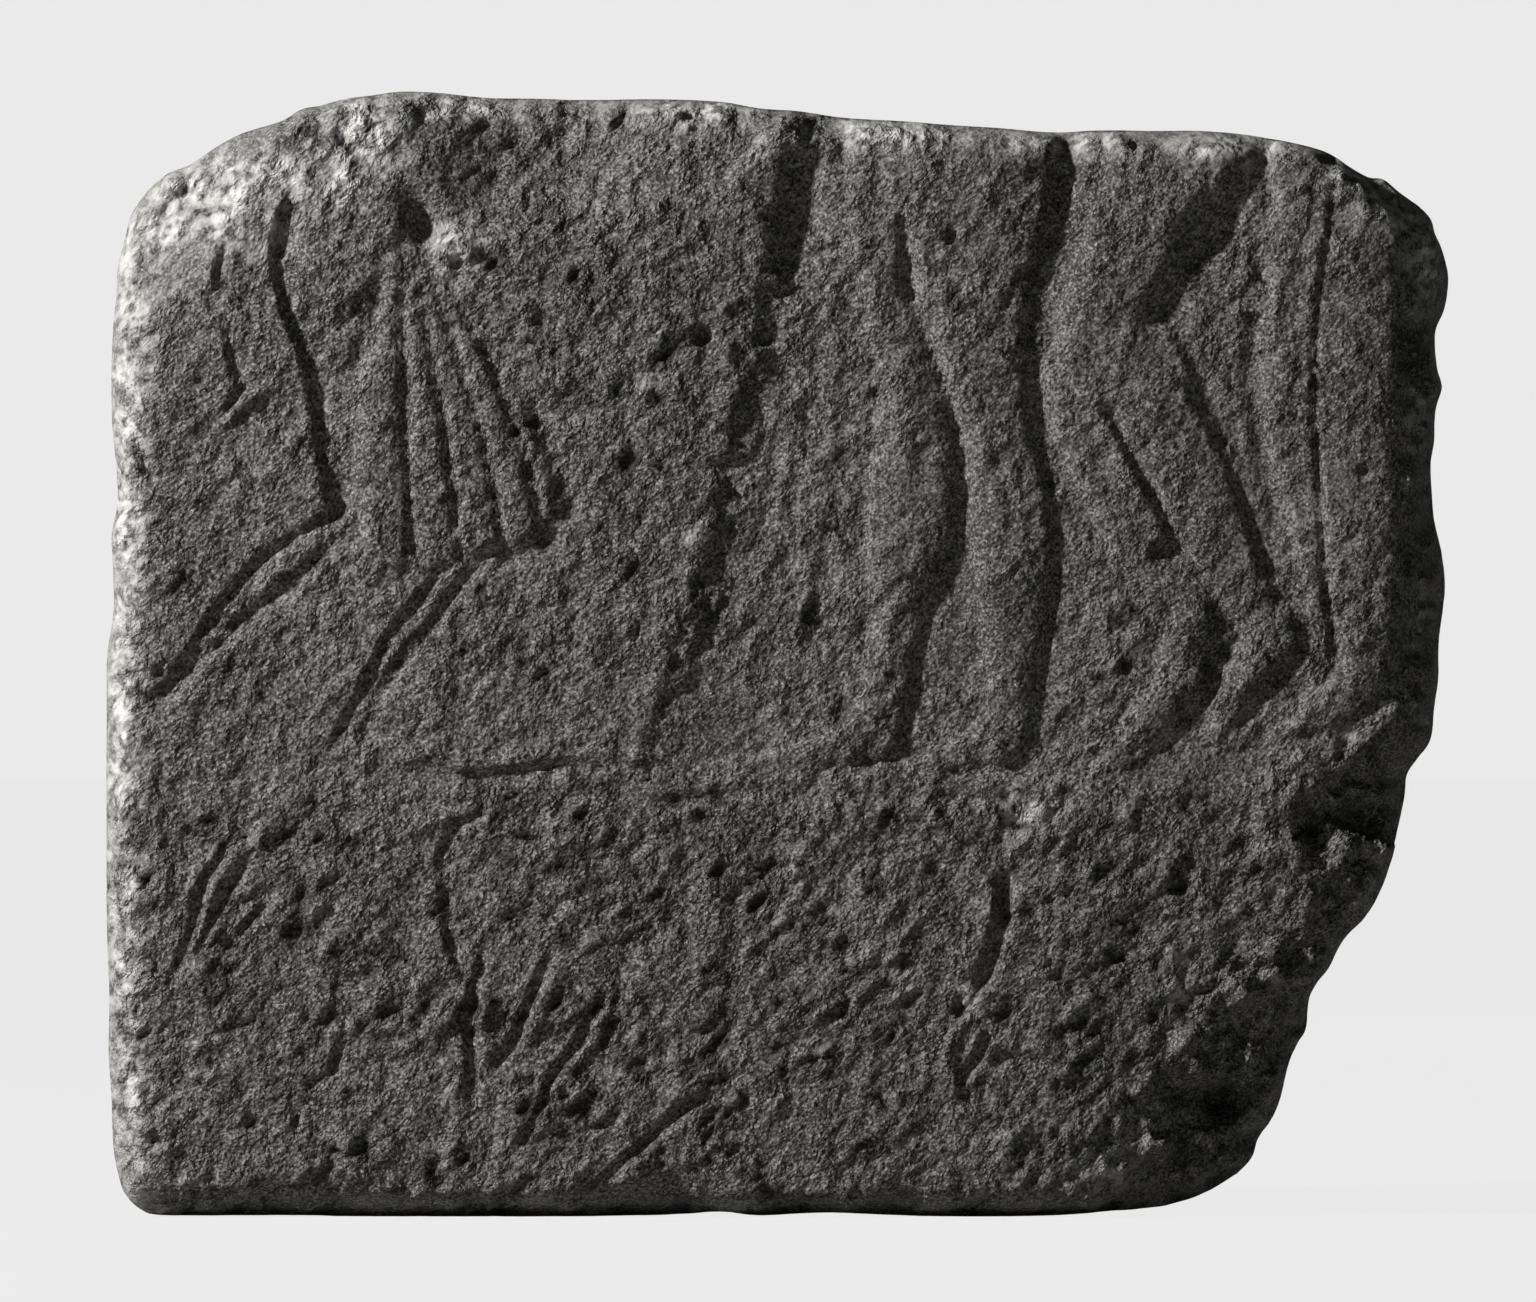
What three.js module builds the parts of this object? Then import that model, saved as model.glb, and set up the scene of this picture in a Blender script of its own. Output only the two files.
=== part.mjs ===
// A carved stone relief panel: one worn building block with the lower halves of bowing and standing
// figures cut into its front. Millimetres, +Z up. The block stands on its dressed bed at z = 0, centred
// on x = 0 and y = 0, with the carved front towards -Y and the flat back towards +Y.
import * as THREE from 'three';

// Driving sizes
const WIDTH = 270;
const HEIGHT = 226;
const DEPTH = 80;
const RECESS_DEPTH = 2;
const BODY_HEIGHT = 2.4;
const CUT_DEPTH = 2.2;
const PLEAT_HEIGHT = 1.1;
const HOLLOW_DEPTH = 9;
const RECESS_WALL_RUN = 3;
const CUT_WALL_RUN = 2.6;
const END_FADE = 5;
const MOST_BREAK = 34;
const ARRIS_WIDTH = 6;
const ARRIS_DROP = 6;
const BREAK_INSET = 9;
const SIDE_INSET = 1.5;
const TOP_INSET = 4;
const BACK_ROUNDING = 3;

// The carving is set out on squares, 27 to the face's width and 22.6 to its height.
const SQUARE_X = WIDTH / 27;
const SQUARE_Z = HEIGHT / 22.6;
const FRONT = -DEPTH / 2;
const BACK = DEPTH / 2;
const TOLERANCE = SQUARE_X / 20;
const GRID = 128;
const SIDE_ROWS = 2;
const STEPS_PER_POINT = 4;
const OUTLINE_STEPS = 60;

// Points are [squares from the left edge, squares above the bed, a half-width in squares or a strength].
const place = ([across, up, extra = 1]) =>
  new THREE.Vector3(across * SQUARE_X - WIDTH / 2, up * SQUARE_Z, extra);

const curveThrough = (points) =>
  new THREE.CatmullRomCurve3(points.map(place), false, 'centripetal');

const stroke = (points) => curveThrough(points).getPoints((points.length - 1) * STEPS_PER_POINT);

const clamp01 = (t) => Math.min(Math.max(t, 0), 1);

function ease(t) {
  const s = clamp01(t);
  return s * s * (3 - 2 * s);
}

// The nearest place on a stroke: how far off it is, how far off sideways (left of its travel is
// positive), how far past the stroke's end, and the extra number there.
function nearest(line, x, z) {
  const found = { far: Infinity, aside: 0, past: 0, extra: 0 };
  for (let i = 0; i + 1 < line.length; i++) {
    const a = line[i];
    const b = line[i + 1];
    const length = Math.hypot(b.x - a.x, b.y - a.y);
    const [dx, dz] = [(b.x - a.x) / length, (b.y - a.y) / length];
    const along = (x - a.x) * dx + (z - a.y) * dz;
    const aside = dx * (z - a.y) - dz * (x - a.x);
    const t = clamp01(along / length);
    const far = Math.hypot(aside, along - t * length);
    if (far < found.far) {
      const beyond = (i === 0 && along < 0) || (i + 2 === line.length && along > length);
      found.far = far;
      found.past = beyond ? Math.abs(along - t * length) : 0;
      found.aside = beyond ? aside : far * (aside >= 0 ? 1 : -1);
      found.extra = a.z + t * (b.z - a.z);
    }
  }
  return found;
}

// Outline of the block as seen from the front, one curve for each side
const leftSide = curveThrough([
  [0.5, 0.5], [0.26, 0.92], [0.14, 1.82], [0.1, 3.42], [0.02, 7.42], [0, 9.58], [0.02, 10.78],
  [0.16, 12], [0.18, 13.5], [0.26, 14.6], [0.14, 16.4], [0.2, 18.2], [0.36, 19.5], [0.84, 20.62],
]);
const topSide = curveThrough([
  [0.84, 20.62], [1.24, 20.96], [2.14, 21.42], [2.84, 21.78], [3.94, 22.22], [4.84, 22.46],
  [6, 22.6], [8.54, 22.46], [11.14, 22.44], [12.34, 22.38], [13.14, 22.24], [14.94, 22.04],
  [18.94, 21.76], [21.94, 21.78], [22.94, 21.7], [23.94, 21.52], [24.94, 21.08], [26.3, 20.34],
]);
const rightSide = curveThrough([
  [22.7, 0.82], [23.24, 1.68], [23.6, 2.38], [23.74, 2.98], [24.1, 3.78], [24.16, 4.38],
  [24.94, 5.68], [25.38, 6.18], [25.76, 6.98], [26.1, 8.48], [26.62, 9.62], [26.76, 10.78],
  [26.92, 12.68], [26.68, 14.38], [26.62, 15.18], [26.82, 16.78], [26.7, 17.62], [27, 18.78],
  [26.62, 19.98], [26.3, 20.34],
]);
const bedSide = curveThrough([
  [0.5, 0.5], [0.94, 0.14], [1.6, 0], [5, 0], [12, 0], [18, 0], [19.94, 0.06], [21.14, 0.2],
  [22.04, 0.46], [22.7, 0.82],
]);
const sides = [leftSide, topSide, rightSide, bedSide];
const outline = sides.map((side) => side.getPoints(OUTLINE_STEPS));

// A point of the face from shares of its width and height, blended between the four side curves
function facePoint(u, v) {
  const [left, right] = [leftSide.getPointAt(v), rightSide.getPointAt(v)];
  const [bed, top] = [bedSide.getPointAt(u), topSide.getPointAt(u)];
  const corner = (side, end) => side.getPointAt(end);
  const mix = (axis) =>
    (1 - v) * bed[axis] + v * top[axis] + (1 - u) * left[axis] + u * right[axis] -
    (1 - u) * (1 - v) * corner(bedSide, 0)[axis] - u * (1 - v) * corner(bedSide, 1)[axis] -
    (1 - u) * v * corner(topSide, 0)[axis] - u * v * corner(topSide, 1)[axis];
  return { x: mix('x'), z: Math.max(mix('y'), 0) };
}

// The sunk ground behind the right-hand figures starts at a ragged wall and ends at a ground line.
const recessWall = stroke([
  [13.78, 21.62, 1.1], [13.38, 21.02, 1.1], [13.18, 20.4, 1], [13.06, 18.98, 0.8],
  [12.82, 17.16, 0.4], [12.42, 15.96, 0.2], [12.3, 15.46, 0.2], [12.06, 14.36, 0.2],
  [11.78, 13.46, 0.3], [11.64, 12.36, 0.3], [11.62, 11.86, 0.2], [11.2, 10.36, 0],
  [10.8, 9.46, 0], [10.6, 8.6, 0],
]);
const GROUND_LINE = 8.5 * SQUARE_Z;
const GROUND_LINE_RISE = 0.8 * SQUARE_Z;
const RECESS_HOLLOW_REACH = 1.5 * SQUARE_X;

// Sunk ground: a flat recess, and a hollow along the foot of its wall
function sunkGround(x, z) {
  const wall = nearest(recessWall, x, z);
  if (wall.aside < 0) return 0;
  const foot = ease(wall.far / RECESS_WALL_RUN);
  const above = ease((z - GROUND_LINE) / GROUND_LINE_RISE);
  const hollow = wall.extra * (1 - ease(wall.far / RECESS_HOLLOW_REACH));
  return -foot * above * RECESS_DEPTH * (1 + hollow);
}

// Limbs and cloth that stand up from the sunk ground: [across, up, half-width]
const limbs = {
  robedLeg: [
    [15.38, 21.5, 0.54], [15.38, 20.36, 0.55], [15.54, 19.16, 0.56], [15.92, 17.46, 0.6],
    [16.12, 16.56, 0.66], [16.18, 14.96, 0.84], [16.12, 13.96, 0.88], [15.98, 13.16, 0.78],
    [15.84, 12.36, 0.6], [15.62, 10.36, 0.44], [15.46, 9.66, 0.48],
  ],
  robedFoot: [
    [15.5, 10.06, 0.5], [14.98, 9.6, 0.46], [14.3, 9.32, 0.32], [13.56, 9.16, 0.22], [12.76, 9.02, 0.15],
  ],
  rearLeg: [
    [17.52, 21.5, 1.56], [17.5, 21.36, 1.56], [17.42, 20.36, 1.5], [17.36, 19.36, 1.34],
    [17.34, 18.56, 1.22],
    [17.44, 17.76, 1.04], [17.62, 16.76, 0.84], [17.82, 15.76, 0.7], [18.14, 13.96, 0.86],
    [18.18, 11.96, 0.68], [18.14, 10.96, 0.56], [17.9, 9.56, 0.54],
  ],
  rearFoot: [
    [17.98, 9.76, 0.54], [17.4, 9.4, 0.38], [16.7, 9.16, 0.26], [16, 9, 0.18], [15.5, 8.92, 0.12],
  ],
  bowingThigh: [
    [21.66, 22.26, 1.54], [21.62, 21.36, 1.52], [21.26, 20.56, 1.36], [20.8, 19.76, 1.18],
    [20.46, 18.96, 1.06], [20.18, 18.26, 1], [20.02, 17.06, 0.94],
  ],
  bowingRearShin: [
    [19.16, 16.96, 0.48], [19.44, 15.96, 0.56], [19.88, 15.06, 0.62], [20.36, 14.16, 0.62],
    [20.84, 13.36, 0.52], [21.36, 12.8, 0.42], [21.84, 12.36, 0.38],
  ],
  bowingRearFoot: [
    [21.84, 12.44, 0.4], [21.76, 11.66, 0.48], [21.48, 10.76, 0.52], [21.04, 9.92, 0.44],
    [20.44, 9.32, 0.28],
  ],
  bowingFrontShin: [
    [20.52, 17.36, 0.94], [21.02, 16.36, 0.9], [21.42, 15.56, 0.86], [21.82, 14.76, 0.8],
    [22.44, 13.26, 0.66], [22.8, 12.56, 0.56], [23.44, 11.56, 0.42],
  ],
  bowingFrontFoot: [
    [23.4, 11.72, 0.48], [23.04, 11.12, 0.46], [22.64, 10.56, 0.38], [22.16, 9.56, 0.16],
  ],
  lastFrontLeg: [
    [23.94, 21.36, 0.62], [23.98, 20.16, 0.62], [23.82, 18.76, 0.56], [23.7, 17.56, 0.52],
    [23.8, 15.36, 0.46], [24.12, 13.36, 0.3], [24.44, 11.46, 0.16],
  ],
  lastRearLeg: [
    [25.22, 21.16, 0.6], [25.22, 19.96, 0.72], [25.06, 16.76, 0.86], [25.08, 15.16, 0.82],
    [25.26, 11.96, 0.7], [25.3, 10.96, 0.62],
  ],
  lastFoot: [[25.26, 10.96, 0.6], [24.7, 10.36, 0.46], [24.14, 10.08, 0.34], [23.66, 9.8, 0.2]],
};
const limbStrokes = Object.values(limbs).map(stroke);

// Rounded bodies: each is an arch across its centre line, and the tallest one counts.
function tallestArch(strokes, x, z) {
  let tallest = 0;
  for (const line of strokes) {
    const { far, extra } = nearest(line, x, z);
    tallest = Math.max(tallest, 1 - (far / (extra * SQUARE_X)) ** 2);
  }
  return tallest ** 0.7;
}

const raisedBodies = (x, z) => BODY_HEIGHT * tallestArch(limbStrokes, x, z);

// Cut outlines: a steep wall on one side and a slow return on the other. low is the side of travel
// that is sunk, reach is how far the return runs, and a point's third number is a share of the full
// cut depth.
const cuts = {
  bowingBack: { low: 1, reach: 0.8, points: [
    [3.5, 20.68, 0.4], [3.3, 19.48, 0.9], [3.46, 18.22, 1], [3.9, 16.88, 1], [4.1, 15.38, 1],
    [4.4, 14.3, 1],
  ] },
  frontShinTop: { low: 1, reach: 0.6, points: [
    [4.4, 14.3, 1], [3.54, 13.78, 1], [2.84, 13.28, 1.1], [2.18, 12.48, 1.1], [1.74, 11.68, 1.1],
    [1.1, 10.78, 1],
  ] },
  frontShinFoot: { low: -1, reach: 0.4, points: [
    [5.34, 13.48, 0.2], [4.74, 12.94, 0.7], [4.04, 12.44, 1], [3.34, 11.92, 1], [2.14, 10.84, 1],
    [1.88, 10.48, 0.5],
  ] },
  rearShinTop: { low: 1, reach: 0.6, points: [
    [6.3, 12.74, 0.8], [5.54, 11.88, 1.1], [5.18, 11.28, 1.1], [4.8, 10.18, 1.1], [4.38, 9.68, 0.7],
  ] },
  rearShinFoot: { low: -1, reach: 0.4, points: [
    [7.66, 12.68, 0.8], [6.98, 11.74, 1], [6.5, 11.18, 1], [6.1, 10.58, 1], [5.66, 9.74, 0.5],
  ] },
  kiltEdge: { low: -1, reach: 0.7, points: [
    [7.5, 18.68, 0.2], [8.34, 17.34, 0.3], [9.06, 16.14, 0.5], [9.62, 15.02, 0.6], [9.84, 14.44, 0.6],
    [9.58, 13.58, 0.5], [8.84, 12.92, 0.5], [7.66, 12.66, 0.7],
  ] },
  robeFold: { low: 1, reach: 0.4, points: [
    [14.7, 17.8, 0.2], [14.64, 16.4, 0.3], [14.46, 14.7, 0.35], [14.2, 12.9, 0.35], [13.88, 10.6, 0.2],
  ] },
  legFold: { low: 1, reach: 0.4, points: [
    [17.5, 16.2, 0.2], [17.66, 15.4, 0.4], [17.9, 14.2, 0.4], [17.94, 13.7, 0.2],
  ] },
  shinValley: { low: 1, reach: 0.4, points: [
    [19.64, 17, 0.2], [20.3, 15.8, 0.4], [20.9, 14.6, 0.5], [21.4, 13.5, 0.5],
  ] },
};
const cutStrokes = Object.values(cuts).map((cut) => ({ ...cut, line: stroke(cut.points) }));

function cutDepth(x, z) {
  let depth = 0;
  for (const { low, reach, line } of cutStrokes) {
    const { aside, past, extra } = nearest(line, x, z);
    const into = aside * low;
    const run = reach * SQUARE_X;
    if (into > 0 && into < CUT_WALL_RUN + run) {
      const fade = (1 - ease((into - CUT_WALL_RUN) / run)) * (1 - ease(past / END_FADE));
      depth += extra * fade * ease(into / CUT_WALL_RUN);
    }
  }
  return depth * CUT_DEPTH;
}

// The kilt's pleats fan out from the waist to the hem: a ridge between each pair of folds.
const KILT_WAIST = [[5.7, 18.9], [7.1, 18.7]];
const KILT_HEM = [[5.2, 13.4], [9.2, 14.2]];
const PLEATS = 5;
const PLEAT_HALF_WIDTH = [0.13, 0.38];

function pleatStroke(index) {
  const share = (index + 0.5) / PLEATS;
  const along = ([from, to]) => [
    from[0] + share * (to[0] - from[0]),
    from[1] + share * (to[1] - from[1]),
  ];
  const [top, bottom] = PLEAT_HALF_WIDTH;
  return stroke([[...along(KILT_WAIST), top], [...along(KILT_HEM), bottom]]);
}
const pleatStrokes = Array.from({ length: PLEATS }, (_, index) => pleatStroke(index));

const pleats = (x, z) => PLEAT_HEIGHT * tallestArch(pleatStrokes, x, z);

// Lines past which the stone has broken or worn away, on the side of travel that low gives: a point's
// third number is how steeply it falls past the line.
const breaks = {
  rightHand: { low: 1, points: [
    [25.3, 21.6, 1.2], [26.1, 19.8, 2], [26.3, 18.8, 2.2], [25.92, 17.6, 2.2], [25.86, 14.4, 2.2],
    [25.8, 12, 2.2],
    [25.84, 10.8, 2], [25.7, 10.2, 1.8], [25.4, 9.56, 1.4], [24.9, 9.26, 1.3], [23.9, 8.76, 1.2],
    [23.7, 7.76, 1],
    [23.7, 7.16, 0.9], [23.9, 6.16, 0.8], [22.7, 5.46, 0.9], [22.1, 4.76, 0.9], [21.9, 4.16, 1],
    [20.9, 3.16, 1],
    [20.7, 2.36, 1], [20.1, 1.36, 1], [19.9, 0.76, 1], [19.7, -0.5, 1],
  ] },
  upperCorner: { low: 1, points: [
    [-1.3, 16.2, 0.36], [0.06, 16.6, 0.44], [0.9, 17.6, 0.54], [1.9, 18.6, 0.58], [2.8, 19.4, 0.58],
    [3.5, 20.4, 0.54], [4.3, 21.2, 0.46], [4.9, 23.2, 0.4],
  ] },
};
const breakStrokes = Object.values(breaks).map((each) => ({ ...each, line: stroke(each.points) }));

function brokenAway(x, z) {
  let fall = 0;
  for (const { low, line } of breakStrokes) {
    const { aside, extra } = nearest(line, x, z);
    fall = Math.max(fall, extra * aside * low);
  }
  return MOST_BREAK * (1 - Math.exp(-fall / MOST_BREAK));
}

// Round hollows worn or knocked into the face: [across, up, half-width, half-height, share of the
// deepest]
const hollows = [
  [7.3, 21, 2.4, 2, 0.36],
  [6.3, 19.9, 0.5, 0.6, 0.27],
  [12, 17.6, 0.32, 0.4, 0.3],
  [22.3, 2.3, 0.76, 0.56, 1],
  [18, 5.9, 0.3, 0.9, 0.18],
  [24.6, 8.2, 1.2, 0.9, 0.33],
];

function hollowDepth(x, z) {
  let depth = 0;
  for (const [across, up, halfWidth, halfHeight, deep] of hollows) {
    const centre = place([across, up]);
    const offX = (x - centre.x) / (halfWidth * SQUARE_X);
    const offZ = (z - centre.y) / (halfHeight * SQUARE_Z);
    depth += deep * Math.max(1 - offX ** 2 - offZ ** 2, 0) ** 2;
  }
  return depth * HOLLOW_DEPTH;
}

// The worn arris all round the face is a quarter of an ellipse.
function arrisDrop(x, z) {
  const edge = Math.min(...outline.map((line) => nearest(line, x, z).far));
  const inwards = 1 - clamp01(edge / ARRIS_WIDTH);
  return ARRIS_DROP * (1 - Math.sqrt(Math.max(1 - inwards ** 2, 0)));
}

// Nothing stands proud of the drawn face.
function frontSurface(x, z) {
  const carved = Math.min(sunkGround(x, z) + raisedBodies(x, z) + pleats(x, z) - cutDepth(x, z), 0);
  return FRONT - carved + hollowDepth(x, z) + brokenAway(x, z) + arrisDrop(x, z);
}

// The front as a grid of samples, from which right triangles are kept as large as the carving allows
const across = GRID + 1;
const samples = new Array(across * across);
for (let j = 0; j <= GRID; j++) {
  for (let i = 0; i <= GRID; i++) {
    const { x, z } = facePoint(i / GRID, j / GRID);
    samples[j * across + i] = new THREE.Vector3(x, frontSurface(x, z), z);
  }
}

const bend = new Float32Array(across * across);

function measureBend(i, j, di, dj, childOffsets) {
  if (i < 0 || j < 0 || i > GRID || j > GRID) return;
  const here = j * across + i;
  const middle = samples[(j - dj) * across + i - di].clone();
  middle.add(samples[(j + dj) * across + i + di]).multiplyScalar(0.5);
  let worst = Math.max(bend[here], middle.distanceTo(samples[here]));
  for (const [oi, oj] of childOffsets) {
    const [ci, cj] = [i + oi, j + oj];
    if (ci >= 0 && cj >= 0 && ci <= GRID && cj <= GRID) worst = Math.max(worst, bend[cj * across + ci]);
  }
  bend[here] = worst;
}

const aroundCorners = (d) => [[-d, -d], [d, -d], [-d, d], [d, d]];
const aroundSides = (d) => [[-d, 0], [d, 0], [0, -d], [0, d]];

for (let cell = 2; cell <= GRID; cell *= 2) {
  const half = cell / 2;
  const smaller = cell > 2 ? aroundCorners(half / 2) : [];
  for (let j = 0; j <= GRID; j += cell) {
    for (let i = half; i < GRID; i += cell) {
      measureBend(i, j, half, 0, smaller);
      measureBend(j, i, 0, half, smaller);
    }
  }
  for (let j = half; j < GRID; j += cell) {
    for (let i = half; i < GRID; i += cell) {
      const rising = ((i - half) / cell + (j - half) / cell) % 2 === 0;
      measureBend(i, j, half, rising ? half : -half, aroundSides(half));
    }
  }
}

const front = [];
function keepOrSplit(a, b, c) {
  const middle = [(a[0] + b[0]) / 2, (a[1] + b[1]) / 2];
  const smallest = Math.abs(a[0] - c[0]) + Math.abs(a[1] - c[1]) <= 1;
  if (!smallest && bend[middle[1] * across + middle[0]] > TOLERANCE) {
    keepOrSplit(c, a, middle);
    keepOrSplit(b, c, middle);
  } else {
    front.push([c, b, a].map(([i, j]) => j * across + i));
  }
}
keepOrSplit([0, 0], [GRID, GRID], [GRID, 0]);
keepOrSplit([GRID, GRID], [0, 0], [0, GRID]);

// Points of the whole skin, shared between its triangles
const vertices = [];
const triangles = [];
const skinIndex = new Map();

function vertexOf(key, point) {
  if (!skinIndex.has(key)) {
    skinIndex.set(key, vertices.length);
    vertices.push(point);
  }
  return skinIndex.get(key);
}

for (const triangle of front) {
  triangles.push(triangle.map((index) => vertexOf(`0:${index}`, samples[index])));
}

// Side walls run back from the rim of the front, row by row, to the flat back.
const rim = new Map();
const edgesSeen = new Set(front.flatMap(([a, b, c]) => [`${a}>${b}`, `${b}>${c}`, `${c}>${a}`]));
for (const [a, b, c] of front) {
  for (const [from, to] of [[a, b], [b, c], [c, a]]) {
    if (!edgesSeen.has(`${to}>${from}`)) rim.set(from, to);
  }
}

function wallPoint(index, row) {
  const start = samples[index];
  const share = row / SIDE_ROWS;
  const rounding = row === SIDE_ROWS ? BACK_ROUNDING : 0;
  const inset = (start.x > 0 ? BREAK_INSET : SIDE_INSET) * share + rounding;
  const lowering = TOP_INSET * share + rounding;
  return new THREE.Vector3(
    start.x * (1 - inset / (WIDTH / 2)),
    start.y + share * (BACK - start.y),
    start.z * (1 - lowering / HEIGHT),
  );
}

const wallVertex = (index, row) =>
  vertexOf(`${row}:${index}`, row === 0 ? samples[index] : wallPoint(index, row));

for (const [from, to] of rim) {
  for (let row = 0; row < SIDE_ROWS; row++) {
    const [a, b] = [wallVertex(to, row), wallVertex(from, row)];
    const [c, d] = [wallVertex(from, row + 1), wallVertex(to, row + 1)];
    triangles.push([a, b, c], [a, c, d]);
  }
}

// The flat back closes the last row.
const loop = [];
for (let at = rim.keys().next().value; loop.length < rim.size; at = rim.get(at)) {
  loop.push(skinIndex.get(`${SIDE_ROWS}:${at}`));
}
const flatLoop = loop.map((index) => new THREE.Vector2(vertices[index].x, vertices[index].z));
for (const [a, b, c] of THREE.ShapeUtils.triangulateShape(flatLoop, [])) {
  triangles.push([loop[c], loop[b], loop[a]]);
}

const geometry = new THREE.BufferGeometry();
const positions = vertices.flatMap((point) => point.toArray());
geometry.setAttribute('position', new THREE.Float32BufferAttribute(positions, 3));
geometry.setIndex(triangles.flat());
geometry.computeVertexNormals();

const stone = new THREE.MeshStandardMaterial({ color: 0x6b6963, roughness: 0.95, metalness: 0 });
const reliefPanel = new THREE.Mesh(geometry, stone);
reliefPanel.name = 'relief_panel';

const part = new THREE.Group();
part.add(reliefPanel);

export default part;
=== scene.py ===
import math
import bpy
import numpy as np
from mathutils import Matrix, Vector, noise


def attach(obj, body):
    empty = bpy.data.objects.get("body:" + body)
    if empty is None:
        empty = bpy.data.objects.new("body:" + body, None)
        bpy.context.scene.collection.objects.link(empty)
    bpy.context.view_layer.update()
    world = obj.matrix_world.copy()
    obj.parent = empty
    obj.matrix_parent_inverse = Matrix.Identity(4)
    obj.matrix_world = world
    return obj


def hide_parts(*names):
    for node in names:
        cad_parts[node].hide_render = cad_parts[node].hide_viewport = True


# The carved block on its floor. The front is a fine grid set out to the block's outline, cut back by
# the same strokes as a carver's: walls, limbs, pleats, folds, pits and breaks. The sides and the back
# are drawn out from the rim of the front.

# Sizes in metres. The front lies between the block's foremost plane and the deepest break.
WIDTH = 0.270
HEIGHT = 0.226
FOREMOST = -0.040
FRONT = -0.0388
BACK = 0.040
DEEPEST = BACK - 0.03
ARRIS_WIDTH = 0.0060
ARRIS_DROP = 0.0048
SMOOTH_RIM = 0.0030
MM = 0.001

# Cells of the front's grid
CELLS_WIDE = 290
CELLS_HIGH = 243

# Strokes are set out in the photograph's pixels: five to a millimetre, from the block's left edge and bed.
PIXEL = 0.0002
LEFT_EDGE_PIXEL = 105
BED_PIXEL = 1218
PHOTO_WIDTH = 1536
PHOTO_MIDDLE = (768, 651)


def on_face(across, down):
    return ((across - LEFT_EDGE_PIXEL) * PIXEL - WIDTH / 2, (BED_PIXEL - down) * PIXEL)


def through(points, steps=4):
    """A smooth stroke through points of (across, down), some with a strength, as rows of x, z, strength."""
    rows = [(*on_face(p[0], p[1]), p[2] if len(p) > 2 else 1.0) for p in points]
    knots = np.array([rows[0]] + rows + [rows[-1]])
    out = []
    for i in range(1, len(knots) - 2):
        before, start, end, after = knots[i - 1:i + 3]
        for t in np.arange(steps) / steps:
            out.append(0.5 * (2 * start + (end - before) * t
                              + (2 * before - 5 * start + 4 * end - after) * t ** 2
                              + (3 * start - before - 3 * end + after) * t ** 3))
    out.append(knots[-2])
    return np.array(out)


def ease(t):
    s = np.clip(t, 0, 1)
    return s * s * (3 - 2 * s)


# Outline of the block, corner to corner
LEFT_SIDE = through([
    (122, 1192), (118, 1180), (112, 1150), (110, 1100), (107, 1050), (108, 1000), (106, 950), (105, 900),
    (104, 850), (104, 800), (104, 740), (104, 690), (106, 650), (112, 610), (111, 560), (110, 535), (116, 500),
    (114, 460), (111, 430), (110, 400), (110, 365), (112, 320), (115, 290), (116, 265), (122, 240), (128, 215),
    (138, 198), (147, 187)])
TOP_SIDE = through([
    (147, 187), (165, 172), (190, 162), (210, 148), (240, 132), (280, 120), (300, 108), (320, 104), (345, 97),
    (370, 94), (400, 90), (440, 91), (480, 95), (530, 96), (600, 97), (660, 97), (720, 100), (760, 107),
    (800, 110), (850, 117), (900, 120), (950, 124), (1000, 127), (1050, 131), (1100, 129), (1150, 130),
    (1200, 130), (1250, 134), (1300, 143), (1330, 152), (1350, 165), (1370, 176), (1385, 178), (1400, 190),
    (1420, 204)])
RIGHT_SIDE = through([
    (1240, 1177), (1255, 1160), (1262, 1140), (1275, 1120), (1283, 1100), (1290, 1070), (1300, 1045), (1309, 1030),
    (1311, 1000), (1318, 985), (1330, 970), (1340, 950), (1350, 935), (1365, 920), (1378, 900), (1391, 870),
    (1400, 835), (1408, 800), (1411, 775), (1420, 760), (1434, 740), (1437, 710), (1441, 680), (1443, 640),
    (1447, 610), (1449, 580), (1445, 550), (1438, 520), (1434, 480), (1434, 460), (1437, 440), (1438, 410),
    (1444, 390), (1444, 380), (1440, 365), (1438, 340), (1440, 325), (1447, 310), (1451, 290), (1451, 270),
    (1445, 250), (1437, 232), (1433, 218), (1420, 204)])
BED_SIDE = through([
    (122, 1192), (130, 1203), (140, 1211), (153, 1216), (200, 1217), (300, 1217), (350, 1218), (500, 1218),
    (660, 1217), (720, 1213), (760, 1217), (830, 1214), (900, 1217), (980, 1218), (1050, 1217), (1100, 1214),
    (1150, 1210), (1185, 1204), (1215, 1192), (1240, 1177)])


def spread(line, count):
    """count + 1 places at even distances along a line."""
    lengths = np.concatenate([[0], np.cumsum(np.hypot(*np.diff(line[:, :2], axis=0).T))])
    at = np.linspace(0, lengths[-1], count + 1)
    return np.stack([np.interp(at, lengths, line[:, 0]), np.interp(at, lengths, line[:, 1])], axis=1)


def set_out_face():
    """The x and z of every grid point, blended between the four sides of the outline, from the bed up."""
    u = np.linspace(0, 1, CELLS_WIDE + 1)[None, :, None]
    v = np.linspace(0, 1, CELLS_HIGH + 1)[:, None, None]
    bed, top = spread(BED_SIDE, CELLS_WIDE)[None], spread(TOP_SIDE, CELLS_WIDE)[None]
    left, right = spread(LEFT_SIDE, CELLS_HIGH)[:, None], spread(RIGHT_SIDE, CELLS_HIGH)[:, None]
    face = (1 - v) * bed + v * top + (1 - u) * left + u * right
    face -= (1 - u) * (1 - v) * bed[:, :1] + u * (1 - v) * bed[:, -1:]
    face -= (1 - u) * v * top[:, :1] + u * v * top[:, -1:]
    return face.reshape(-1, 2)


# Distances that count as the same where two lengths of a stroke meet, and how fast a cut fades past its ends
SAME_DISTANCE = 1e-7
CUT_END = 0.004


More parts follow.
